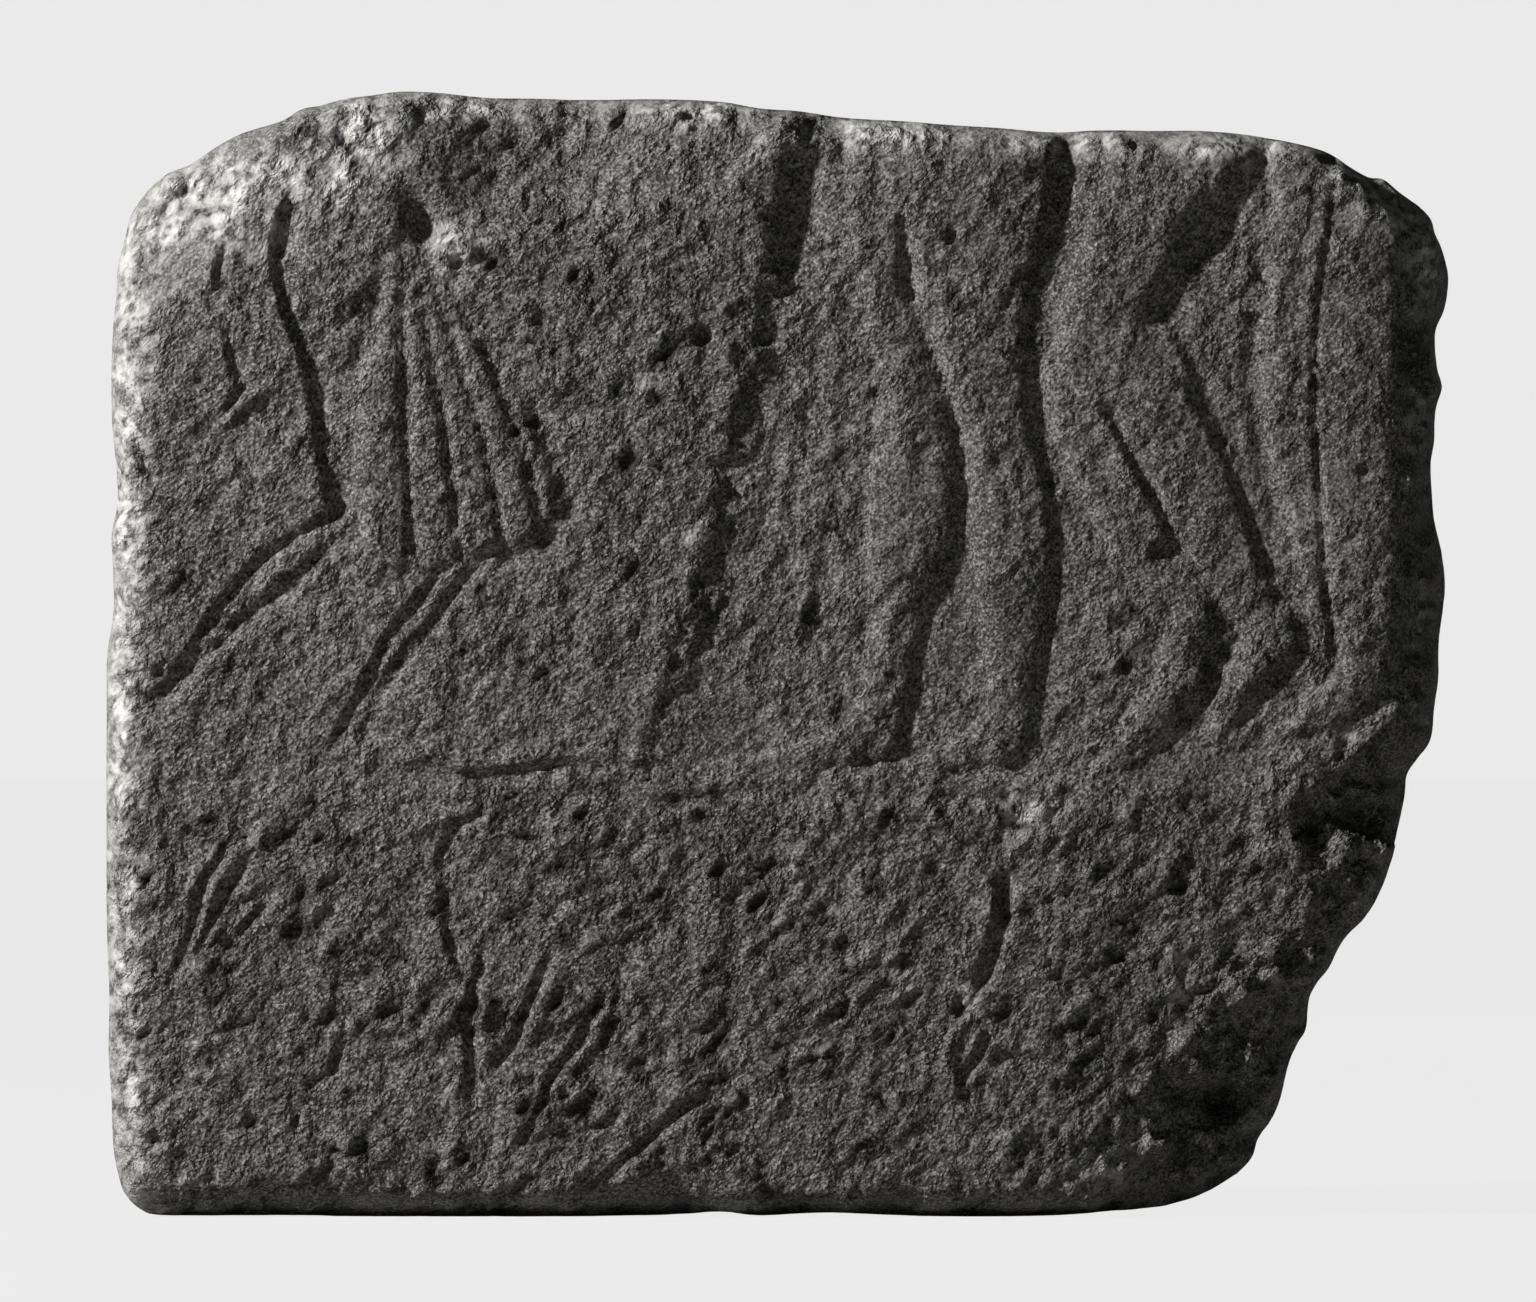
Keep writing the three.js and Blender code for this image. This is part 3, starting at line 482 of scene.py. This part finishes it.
# Their heights in millimetres
SWELL_HEIGHT = 0.42
LUMP_HEIGHT = 0.34
FLAKE_HEIGHT = 0.66
CRUMB_HEIGHT = 0.36
CREASE_DEPTH = 0.34
PIT_DEPTH = 0.14
LOOSE_LUMP_HEIGHT = 3.6
LOOSE_CRUMB_HEIGHT = 1.7


def broken(face, points, low, rounding):
    """How far the face has fallen away past a line, in millimetres."""
    chosen, _, aside, _, strength = face.near(through(points), BREAK_REACH)
    past = np.clip(aside * low / MM, 0, None)
    past = np.sqrt(past ** 2 + rounding ** 2) - rounding
    fall = np.zeros(len(face.x))
    fall[chosen] = strength * past
    return MOST_BROKEN * (1 - np.exp(-fall / MOST_BROKEN))


def grain(x, y, z, size, octaves, seed):
    """Rough stone, from about -1 to 1, with lumps of the given size in metres."""
    out = np.empty(len(x))
    for i, place in enumerate(zip(x, y, z)):
        point = Vector(place) / size
        point.x += seed
        out[i] = noise.fractal(point, 0.6, 2.1, octaves)
    return out


def pitting(x, y, z, size, seed):
    """Round pits, 0 between them and 1 at their bottoms."""
    out = np.empty(len(x))
    for i, place in enumerate(zip(x, y, z)):
        point = Vector(place) / size
        point.x += seed
        out[i] = noise.voronoi(point, distance_metric="DISTANCE")[0][0]
    return np.clip(1 - out / 0.62, 0, 1) ** 1.4


def arch(share, lean):
    """The section of a limb or a pleat: round on its left, then sloping slowly to a low edge on its right."""
    flattened = np.where(lean < 0, share ** 2, share ** 4)
    return (1 - flattened) ** 0.55 * (1 - LEAN * lean)


def sink_ground(face):
    """Takes the ground behind the right-hand figures down to its depth."""
    chosen, _, aside, _, strength = face.near(through(RECESS_WALL), RECESS_SPAN)
    x, z = face.x[chosen], face.z[chosen]
    into = aside + sum(grain(x, z, z, *kind) * reach for *kind, reach in WALL_GRAINS)
    above = ease((z - on_face(0, RECESS_FOOT)[1]) / RECESS_FOOT_FADE)
    deep = RECESS_DEPTH + strength * (1 - ease(into / RECESS_FOOT_OF_WALL))
    run = np.clip(WALL_RUN + WALL_RUN_PER_STRENGTH * strength, *WALL_RUN_LIMITS)
    face.carved[chosen] -= np.where(into > 0, ease(into / run) * above * deep, 0)


def raised(face, bodies, swell, reach):
    """How far rounded bodies stand up, in millimetres. Where two meet, the higher one counts."""
    out = np.zeros(len(face.x))
    for points, height in bodies:
        chosen, far, aside, _, half = face.near(through(points), reach)
        share = np.clip(far / (half * MM), 0, 1)
        lean = np.clip(aside / (half * MM), -1, 1)
        rise = np.minimum(height, swell[0] * half + swell[1])
        out[chosen] = np.maximum(out[chosen], rise * arch(share, lean))
    return out


def carve_front(face):
    """The carving, the pits and the lumps of the front."""
    sink_ground(face)
    face.carved += raised(face, LIMBS.values(), LIMB_SWELL, LIMB_REACH)
    face.carved += raised(face, [(points, PLEAT_HEIGHT) for points in PLEATS], PLEAT_SWELL, PLEAT_REACH)
    for cut in CUTS.values():
        face.cut(*cut)
    for points, half_width, amount in [*KILT_LINES.values(), *FOLDS.values()]:
        face.line(points, half_width, amount)
    for points, half_width, amount in STROKES.values():
        face.line(points, half_width, amount * STROKE_WEIGHT)
        if amount < 0:
            face.line(points, half_width * LIP_WIDTH, -LIP_HEIGHT * amount)
    for across, down, half_width, half_height, amount in SPOTS:
        face.spot(across, down, half_width * MM, half_height * MM, amount)
    face.cut(*TOP_HOLLOW)


def patch(x, z, across, down, half_width, half_height):
    """1 in the middle of a round patch, fading to 0 outside it."""
    middle_x, middle_z = on_face(across, down)
    return np.exp(-(((x - middle_x) / half_width) ** 2 + ((z - middle_z) / half_height) ** 2))


def weather_front(face, edge):
    """Wear, grain and pitting on top of the carving. Gives back the fine detail alone, for the dirt and painted
    shade in its hollows and the wear and painted highlight on its crests, and how rough each place is."""
    x, z = face.x, face.z
    y = np.zeros(len(x))
    right, up = SLANT
    slanted = (FLAKE_STRETCH * (right * x + up * z), y, right * z - up * x)
    lower = ease((on_face(0, GROUND_LINE)[1] - z) / AREA_FADE)
    figures = ease((x - on_face(FIRST_FIGURE, 0)[0]) / AREA_FADE) * (1 - lower)
    ragged_feet = patch(x, z, *RAGGED_FEET)
    rough = 0.95 + 0.5 * lower - 0.3 * figures + 0.45 * grain(x, y, z, *ROUGHER_AREAS)
    for *place, change in PATCHES.values():
        rough += change * patch(x, z, *place)
    rough = np.clip(rough, 0.25, 2.2)
    face.carved += SWELL_HEIGHT * (1 + 0.7 * lower) * grain(x, y, z, *SWELLS)
    face.carved += (LUMP_HEIGHT * (1 + lower) + 0.5 * ragged_feet) * grain(*slanted, *LUMPS)

    before = face.carved.copy()
    clumps = np.clip(0.5 + 1.1 * grain(x, y, z, *CLUMPS), 0.15, 1.4)
    fine = FLAKE_HEIGHT * grain(*slanted, *FLAKES) + CRUMB_HEIGHT * grain(*slanted, *CRUMBS)
    fine -= CREASE_DEPTH * np.clip(1 - 4.5 * np.abs(grain(*slanted, *CREASES)), 0, 1)
    fine -= PIT_DEPTH * pitting(*slanted, *PITS)
    face.carved += rough * clumps * fine
    detail = face.carved - before

    falls = [broken(face, *worn_edge) for worn_edge in WORN_EDGES]
    crumble = grain(x, y, z, *CRUMBLE)
    face.carved -= np.maximum.reduce(falls) * (1 + 0.22 * crumble)
    loose = LOOSE_LUMP_HEIGHT * grain(x, y, z, *LOOSE_LUMPS)
    loose += LOOSE_CRUMB_HEIGHT * grain(x, y, z, *LOOSE_CRUMBS)
    face.carved += ease(falls[0] / 3.5) * loose

    inwards = 1 - np.clip(edge / (ARRIS_WIDTH * np.clip(1 + 0.7 * crumble, 0.4, 1.7)), 0, 1)
    face.carved -= ARRIS_DROP / MM * inwards ** 1.7
    rim = 1 - 0.75 * ease(1 - edge / SMOOTH_RIM)
    bumpy = 0.45 + 0.75 * np.clip(0.5 + 1.4 * grain(x, y, z, *BUMPIER_AREAS), 0, 1)
    roughness = np.clip(rough * (0.55 + 0.45 * clumps), 0.2, 1.5) * bumpy * rim
    # The fine detail is raised along the rim, which gives the rim its wear and painted highlight
    return detail + 0.5 * ease(inwards / 0.7), roughness


def edge_distance(x, z):
    """How far each point is from the outline."""
    out = np.full(len(x), np.inf)
    for side in (LEFT_SIDE, TOP_SIDE, RIGHT_SIDE, BED_SIDE):
        for start, end in zip(side[:-1], side[1:]):
            dx, dz = end[0] - start[0], end[1] - start[1]
            length = dx * dx + dz * dz
            if length == 0:
                continue
            t = np.clip(((x - start[0]) * dx + (z - start[1]) * dz) / length, 0, 1)
            out = np.minimum(out, np.hypot(x - start[0] - t * dx, z - start[1] - t * dz))
    return out


def coordinates(mesh):
    flat = np.empty(len(mesh.vertices) * 3)
    mesh.vertices.foreach_get("co", flat)
    return flat.reshape(-1, 3)


# How far back each strip of the sides reaches, and how wide each ring of the back is, as shares of the whole
SIDE_STRIPS = (0.02, 0.05, 0.09, 0.14, 0.20, 0.27, 0.35, 0.44, 0.54, 0.65, 0.77, 0.90, 0.96, 1.0)
BACK_RINGS = (0.97, 0.93, 0.87, 0.78, 0.66, 0.52, 0.36, 0.18)


def draw_out_sides():
    """From the rim of the front, strips run back to the plane of the back, and rings close it."""
    bpy.ops.object.mode_set(mode="EDIT")
    bpy.ops.mesh.select_all(action="DESELECT")
    bpy.ops.mesh.select_mode(type="EDGE")
    bpy.ops.mesh.select_non_manifold()
    centre = (0, BACK, HEIGHT / 2)
    done = 0.0
    for step in SIDE_STRIPS:
        bpy.ops.mesh.extrude_edges_move()
        bpy.ops.transform.resize(value=(1, (1 - step) / (1 - done), 1), center_override=centre)
        done = step
    last = 1.0
    for share in BACK_RINGS:
        bpy.ops.mesh.extrude_edges_move()
        bpy.ops.transform.resize(value=(share / last, 1, share / last), center_override=centre)
        last = share
    bpy.ops.mesh.merge(type="CENTER")
    bpy.ops.object.mode_set(mode="OBJECT")


# The grains of the sides and the back: size in metres, octaves and seed
SIDE_LUMPS = (0.016, 3, 61.0)
SIDE_CHIPS = (0.0130, 71.0)
SIDE_FINE = (0.0100, 2, 83.0)

# How far the sides draw in by the back and how rough they are, in metres: everywhere, at the broken right end
# and at the top
SIDE_TAPER = (0.0015, 0.0065, 0.0030)
SIDE_ROUGHNESS = (0.0007, 0.0024, 0.0010)
BACK_ROUNDING = 0.0035
CHIP_DEPTH = 0.0006
FINE_DEPTH = 0.0005


def weather_sides(points, first):
    """Tapers, rounds and roughens everything behind the front."""
    x, y, z = points[first:].T.copy()
    back_share = np.clip((y - FRONT) / (BACK - FRONT), 0, 1)
    places = np.stack([np.ones(len(x)), ease((x - 0.060) / 0.060), ease((z - 0.170) / 0.040)])
    up = z - HEIGHT / 2
    lumps = grain(x, y, z, *SIDE_LUMPS)
    chips = CHIP_DEPTH * pitting(x, y, z, *SIDE_CHIPS)
    fine = grain(x, y, z, *SIDE_FINE)
    behind_rim = ease(back_share / 0.12)
    on_back = ease((y - BACK + 0.0005) / 0.0005)

    inset = back_share * (SIDE_TAPER @ places) + BACK_ROUNDING * ease((back_share - 0.86) / 0.14) ** 2
    rough = (SIDE_ROUGHNESS @ places) * (0.6 + 0.6 * lumps) + chips + FINE_DEPTH * fine
    inset += behind_rim * (1 - on_back) * rough
    near_middle = np.hypot(x / (WIDTH / 2), up / (HEIGHT / 2)) <= 0.05
    shrink = np.where(near_middle, 1, np.clip(1 - inset / np.hypot(x, up).clip(0.02), 0.8, 1))
    new_z = HEIGHT / 2 + up * shrink
    on_bed = (new_z < 0.010) & (back_share < 0.97)
    new_z = np.where(on_bed, np.minimum(new_z, np.maximum(z, 0) + chips * behind_rim), new_z)
    new_y = y - on_back * (0.0008 * (0.5 + 0.5 * lumps) + chips + 0.0003 * (1 + fine))
    points[first:] = np.stack([x * shrink, new_y, new_z], axis=1)


# Whitish lime on the stone. The strips along the top and left edges and round the top-left corner are partly lime
# and
# partly painted highlight. Each: across, down, half-width, half-height in millimetres, strength
LIME_AND_HIGHLIGHT_PATCHES = (0.005, 3, 97.0)
LIME_AND_HIGHLIGHT = [
    (130, 300, 5, 30, 0.8), (126, 500, 4, 28, 0.9), (122, 700, 4, 30, 0.9), (124, 900, 4, 36, 0.8),
    (128, 1100, 5, 22, 0.7), (205, 184, 12, 6, 1.2), (272, 176, 7, 5, 1.1), (352, 130, 8, 9, 1.3),
    (340, 178, 5, 6, 1.2), (240, 222, 10, 8, 0.9), (170, 215, 8, 8, 1.0), (457, 248, 5, 5.5, 1.0),
    (580, 110, 10, 3, 0.7), (590, 210, 1.6, 1.6, 0.8), (690, 535, 1.8, 1.8, 0.9), (640, 385, 2.6, 1.4, 0.7),
    (760, 150, 2.2, 2.6, 0.8), (1030, 812, 5.5, 4.5, 0.9), (1290, 725, 2.2, 1.8, 0.7),
    (1295, 755, 2.4, 1.6, 0.7), (1350, 740, 3, 2, 0.6), (975, 1010, 3, 5, 0.5), (1110, 1170, 6, 6, 0.5),
    (150, 250, 8, 12, 0.6), (1390, 205, 7, 6, 0.9), (460, 104, 13, 3.4, 1.1), (690, 110, 13, 3.4, 1.0),
    (880, 132, 15, 3.0, 1.0), (1060, 140, 15, 3.0, 1.0), (1240, 146, 15, 3.4, 1.0),
    (1350, 176, 7, 3.5, 0.8), (1425, 260, 4, 10, 0.8), (1418, 420, 3, 8, 0.4), (1420, 620, 3, 8, 0.4),
    (900, 980, 4, 4, 0.35), (1180, 985, 3, 6, 0.5), (1330, 700, 2.4, 3, 0.5),
]


def lime_and_highlight_on(x, y, z):
    """How limy each point is, with the painted highlight along the top and left edges, from 0 to 1. Both fade
    behind the front.
    """
    out = np.zeros(len(x))
    for across, down, half_width, half_height, strength in LIME_AND_HIGHLIGHT:
        cx, cz = on_face(across, down)
        r = ((x - cx) / (half_width * MM)) ** 2 + ((z - cz) / (half_height * MM)) ** 2
        out = np.maximum(out, strength * np.exp(-r * 1.1))
    patches = np.clip(0.5 + 0.7 * grain(x, y, z, *LIME_AND_HIGHLIGHT_PATCHES), 0, 1)
    behind = 1 - 0.9 * ease((y - FRONT - 0.006) / 0.018)
    return np.clip(out * behind * (0.35 + 1.1 * patches), 0, 1)


def add_attribute(mesh, name, values):
    layer = mesh.attributes.new(name, "FLOAT", "POINT")
    layer.data.foreach_set("value", values.astype(np.float32))


# Fine relief of the sides and the back, for the dirt and painted shade in the hollows, and their bump, where the
# front has its own
SIDE_RELIEF = 0.5
SIDE_BUMP = 0.6


def make_block():
    """The stone: a grid carved as the front, with the sides and the back drawn out from its rim."""
    bpy.ops.mesh.primitive_grid_add(
        x_subdivisions=CELLS_WIDE, y_subdivisions=CELLS_HIGH, size=1, rotation=(math.pi / 2, 0, 0))
    block = bpy.context.active_object
    block.name = "carved_block"
    bpy.ops.object.transform_apply(location=True, rotation=True, scale=True)
    mesh = block.data
    start = coordinates(mesh)
    column = np.rint((start[:, 0] + 0.5) * CELLS_WIDE).astype(int)
    row = np.rint((start[:, 2] + 0.5) * CELLS_HIGH).astype(int)
    order = row * (CELLS_WIDE + 1) + column

    points = set_out_face()
    edge = edge_distance(points[:, 0], points[:, 1])
    face = Face(points)
    carve_front(face)
    detail, rough = weather_front(face, edge)
    y = np.clip(FRONT - face.carved * MM, FOREMOST, DEEPEST)
    front = np.stack([points[:, 0], y, points[:, 1]], axis=1)[order]
    mesh.vertices.foreach_set("co", front.reshape(-1))
    mesh.update()

    first = len(mesh.vertices)
    draw_out_sides()
    everything = coordinates(mesh)
    weather_sides(everything, first)
    everything[:, 0] = np.clip(everything[:, 0], -WIDTH / 2, WIDTH / 2)
    everything[:, 2] = np.clip(everything[:, 2], 0, HEIGHT)
    mesh.vertices.foreach_set("co", everything.reshape(-1))
    mesh.update()
    bpy.ops.object.mode_set(mode="EDIT")
    bpy.ops.mesh.select_all(action="SELECT")
    bpy.ops.mesh.normals_make_consistent(inside=False)
    bpy.ops.object.mode_set(mode="OBJECT")
    bpy.ops.object.shade_smooth()

    relief = np.full(len(everything), SIDE_RELIEF)
    relief[:first] = np.clip(0.5 + 0.5 * detail, 0, 1)[order]
    add_attribute(mesh, "relief", relief)
    roughness = np.full(len(everything), SIDE_BUMP)
    roughness[:first] = rough[order]
    add_attribute(mesh, "roughness", roughness)
    add_attribute(mesh, "lime_and_highlight", lime_and_highlight_on(*everything.T))
    return block


class Nodes:
    """Makes a material's nodes one after another."""

    def __init__(self, name):
        self.material = bpy.data.materials.new(name)
        self.material.use_nodes = True
        self.tree = self.material.node_tree
        self.shader = self.tree.nodes["Principled BSDF"]

    def add(self, kind, **inputs):
        node = self.tree.nodes.new(kind)
        for name, value in inputs.items():
            self.put(node.inputs[name.replace("_", " ")], value)
        return node

    def put(self, socket, value):
        if isinstance(value, bpy.types.NodeSocket):
            self.tree.links.new(value, socket)
        else:
            socket.default_value = value

    def attribute(self, name):
        node = self.tree.nodes.new("ShaderNodeAttribute")
        node.attribute_name = name
        return node.outputs["Fac"]

    def math(self, operation, first, second):
        node = self.tree.nodes.new("ShaderNodeMath")
        node.operation = operation
        self.put(node.inputs[0], first)
        self.put(node.inputs[1], second)
        return node.outputs[0]

    def mix(self, share, first, second):
        node = self.tree.nodes.new("ShaderNodeMix")
        node.data_type = "RGBA"
        self.put(node.inputs["Factor"], share)
        self.put(node.inputs["A"], first)
        self.put(node.inputs["B"], second)
        return node.outputs["Result"]

    def spread(self, value, low, high):
        node = self.add("ShaderNodeMapRange", Value=value, From_Min=low, From_Max=high)
        return node.outputs["Result"]


# Colours of the stone
DARK_GROUND = (0.100, 0.097, 0.091, 1)
PALE_GROUND = (0.165, 0.160, 0.151, 1)
PALE_GRAIN = (0.34, 0.33, 0.31, 1)
DARK_GRAIN = (0.032, 0.030, 0.027, 1)
SPECK = (0.42, 0.41, 0.38, 1)
# Dark of the pits: partly the stone's own, partly painted shade at the bottoms of the bump's pits
DARK_PIT_AND_SHADE = (0.026, 0.024, 0.022, 1)
# Dirt and painted shade, for the hollows of the bump and of the fine relief
DIRT_AND_SHADE = (0.030, 0.028, 0.025, 1)
# Wear and painted highlight, for the crests of the fine relief and the rim
RUBBED_AND_HIGHLIGHT = (0.42, 0.41, 0.39, 1)
# Lime, and painted highlight along the top and left edges
LIME_AND_HIGHLIGHT_COLOUR = (0.70, 0.69, 0.66, 1)

# Sizes of the stone's markings in metres
BLOTCH_SIZE = 0.022
LUMP_SIZE = 0.0019
GRAIN_SIZE = 0.0006
SPECK_SIZE = 0.00045
PIT_SIZE = 0.0023
CRUST_AND_HIGHLIGHT_SIZE = 0.0024
BUMP_HEIGHT = 0.0030


def weathered_stone():
    """Coarse grey sandstone: blotches, dark and pale grains, dark pits partly of painted shade, dirt and painted
    shade in the hollows, wear and painted highlight on the crests and rim, and lime and painted highlight on the
    edges.
    """
    nodes = Nodes("weathered_stone")
    place = nodes.add("ShaderNodeTexCoord").outputs["Object"]
    slant = nodes.add("ShaderNodeMapping", Vector=place)
    slant.vector_type = "TEXTURE"
    slant.inputs["Rotation"].default_value = (0, math.radians(-40), 0)
    slant.inputs["Scale"].default_value = (1.2, 1, 1)
    slanted = slant.outputs["Vector"]

    def noise_at(size, detail=1.0, rough=0.55):
        node = nodes.add("ShaderNodeTexNoise", Vector=slanted, Scale=1 / size, Detail=detail, Roughness=rough)
        return node.outputs["Fac"]

    def times(value, share):
        return nodes.math("MULTIPLY", value, share)

    relief, lime_and_highlight, rough = (nodes.attribute(name) for name in ("relief", "lime_and_highlight", "roughness"))
    cells = nodes.add("ShaderNodeTexVoronoi", Vector=slanted, Scale=1 / PIT_SIZE).outputs["Distance"]
    blotches = noise_at(BLOTCH_SIZE)
    lumps = noise_at(LUMP_SIZE, 3.0, 0.68)
    grains = noise_at(GRAIN_SIZE, 1.0, 0.5)
    specks = noise_at(SPECK_SIZE, 0.0, 0.5)
    pits = nodes.spread(cells, 0.0, 0.40)

    colour = nodes.mix(nodes.spread(blotches, 0.3, 0.7), DARK_GROUND, PALE_GROUND)
    colour = nodes.mix(nodes.spread(grains, 0.52, 0.75), colour, PALE_GRAIN)
    colour = nodes.mix(nodes.spread(grains, 0.50, 0.30), colour, DARK_GRAIN)
    # Dirt and painted shade where the lumps of the bump are low
    colour = nodes.mix(times(nodes.spread(lumps, 0.46, 0.30), 0.8), colour, DIRT_AND_SHADE)
    colour = nodes.mix(times(nodes.spread(specks, 0.60, 0.75), 0.6), colour, SPECK)
    # Partly painted shade: the bottoms of the bump's pits darker
    colour = nodes.mix(times(nodes.math("SUBTRACT", 1.0, pits), 0.85), colour, DARK_PIT_AND_SHADE)
    # Dirt and painted shade in the hollows of the fine relief
    colour = nodes.mix(times(nodes.spread(relief, 0.44, 0.12), 0.80), colour, DIRT_AND_SHADE)
    # Wear and painted highlight on the crests of the fine relief and along the rim
    colour = nodes.mix(times(nodes.spread(relief, 0.58, 0.90), 0.40), colour, RUBBED_AND_HIGHLIGHT)
    # Lime, with painted highlight along the top and left edges
    crust_and_highlight = nodes.math("MULTIPLY", lime_and_highlight, nodes.spread(noise_at(CRUST_AND_HIGHLIGHT_SIZE), 0.36, 0.60))
    colour = nodes.mix(crust_and_highlight, colour, LIME_AND_HIGHLIGHT_COLOUR)
    nodes.put(nodes.shader.inputs["Base Color"], colour)
    nodes.put(nodes.shader.inputs["Roughness"], 0.94)
    nodes.put(nodes.shader.inputs["Specular IOR Level"], 0.2)

    height = nodes.math("ADD", times(lumps, 0.90), times(grains, 0.17))
    height = nodes.math("SUBTRACT", height, times(cells, 0.50))
    height = nodes.math("ADD", height, times(pits, 0.38))
    bump = nodes.add("ShaderNodeBump", Height=times(height, rough), Strength=1.0, Distance=BUMP_HEIGHT)
    nodes.put(nodes.shader.inputs["Normal"], bump.outputs["Normal"])
    return nodes.material


# The floor and the backdrop: how pale the camera sees them, the paper's own grey, and the light from all round
SHOWN = 0.82
FLOOR_SHOWN = SHOWN * 1.09
PAPER_GREY = 0.35
CAMERA_SHARE = 0.90
AMBIENT = 0.016

# Lamps: direction from the block's middle, distance and width in metres, power in watts
LAMPS = {
    "key": ((-0.820, -0.340, 0.460), 1.35, 0.08, 26.0),
    "fill": ((-0.15, -1.0, 0.35), 2.2, 1.6, 0.17),
    "back_fill": ((0.30, 1.0, 0.35), 2.0, 1.2, 4.0),
}

# The camera stands this far from the face, in metres. Its sensor is in millimetres.
CAMERA_DISTANCE = 3.5
SENSOR_WIDTH = 36


def pale_paper():
    """The floor: the camera sees it pale and even, and it throws little light back on the stone."""
    nodes = Nodes("pale_paper")
    nodes.put(nodes.shader.inputs["Base Color"], (PAPER_GREY, PAPER_GREY, PAPER_GREY, 1))
    nodes.put(nodes.shader.inputs["Roughness"], 0.9)
    glow = nodes.add("ShaderNodeEmission", Color=(FLOOR_SHOWN, FLOOR_SHOWN, FLOOR_SHOWN, 1))
    seen = nodes.add("ShaderNodeLightPath").outputs["Is Camera Ray"]
    mix = nodes.add("ShaderNodeMixShader", Fac=nodes.math("MULTIPLY", seen, CAMERA_SHARE))
    nodes.put(mix.inputs[1], nodes.shader.outputs[0])
    nodes.put(mix.inputs[2], glow.outputs[0])
    nodes.put(nodes.tree.nodes["Material Output"].inputs["Surface"], mix.outputs[0])
    return nodes.material


def make_floor(material):
    bpy.ops.mesh.primitive_plane_add(size=24, location=(0, 0, 0))
    floor = bpy.context.active_object
    floor.name = "floor"
    floor.data.materials.append(material)
    return floor


def light_world():
    """An even white all round: bright where the camera sees it, and faint as light."""
    world = bpy.data.worlds.new("studio")
    world.use_nodes = True
    tree = world.node_tree
    ground = tree.nodes["Background"]
    ground.inputs["Color"].default_value = (1, 1, 1, 1)
    seen = tree.nodes.new("ShaderNodeLightPath")
    level = tree.nodes.new("ShaderNodeMapRange")
    level.inputs["To Min"].default_value = AMBIENT
    level.inputs["To Max"].default_value = SHOWN
    tree.links.new(seen.outputs["Is Camera Ray"], level.inputs["Value"])
    tree.links.new(level.outputs["Result"], ground.inputs["Strength"])
    bpy.context.scene.world = world


def add_lamp(name, towards, distance, size, power):
    """A square lamp that shines on the middle of the block from the direction given."""
    middle = Vector((0, FRONT, HEIGHT / 2))
    direction = Vector(towards).normalized()
    lamp = bpy.data.lights.new(name, "AREA")
    lamp.shape = "SQUARE"
    lamp.size = size
    lamp.energy = power
    holder = bpy.data.objects.new(name, lamp)
    holder.location = middle + direction * distance
    holder.rotation_euler = direction.to_track_quat("Z", "Y").to_euler()
    bpy.context.scene.collection.objects.link(holder)


def place_camera():
    """Square on to the face and a long way off, so that the frame is the photograph's width at the face."""
    camera = bpy.data.cameras.new("camera")
    camera.sensor_width = SENSOR_WIDTH
    camera.lens = SENSOR_WIDTH * CAMERA_DISTANCE / (PHOTO_WIDTH * PIXEL)
    holder = bpy.data.objects.new("camera", camera)
    x, z = on_face(*PHOTO_MIDDLE)
    holder.location = (x, FOREMOST - CAMERA_DISTANCE, z)
    holder.rotation_euler = (math.pi / 2, 0, 0)
    bpy.context.scene.collection.objects.link(holder)
    bpy.context.scene.camera = holder


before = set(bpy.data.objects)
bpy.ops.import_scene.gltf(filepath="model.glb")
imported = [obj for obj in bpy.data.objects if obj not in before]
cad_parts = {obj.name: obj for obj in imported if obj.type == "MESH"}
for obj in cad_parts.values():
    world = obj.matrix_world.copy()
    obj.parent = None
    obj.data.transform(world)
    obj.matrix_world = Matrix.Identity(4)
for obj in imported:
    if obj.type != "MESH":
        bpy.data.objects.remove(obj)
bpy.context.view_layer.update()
bpy.ops.object.select_all(action="DESELECT")

block = make_block()
block.data.materials.append(weathered_stone())
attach(block, "root")
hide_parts("relief_panel")

make_floor(pale_paper())
light_world()
for name, settings in LAMPS.items():
    add_lamp(name, *settings)
place_camera()
bpy.context.scene.view_settings.view_transform = "Standard"
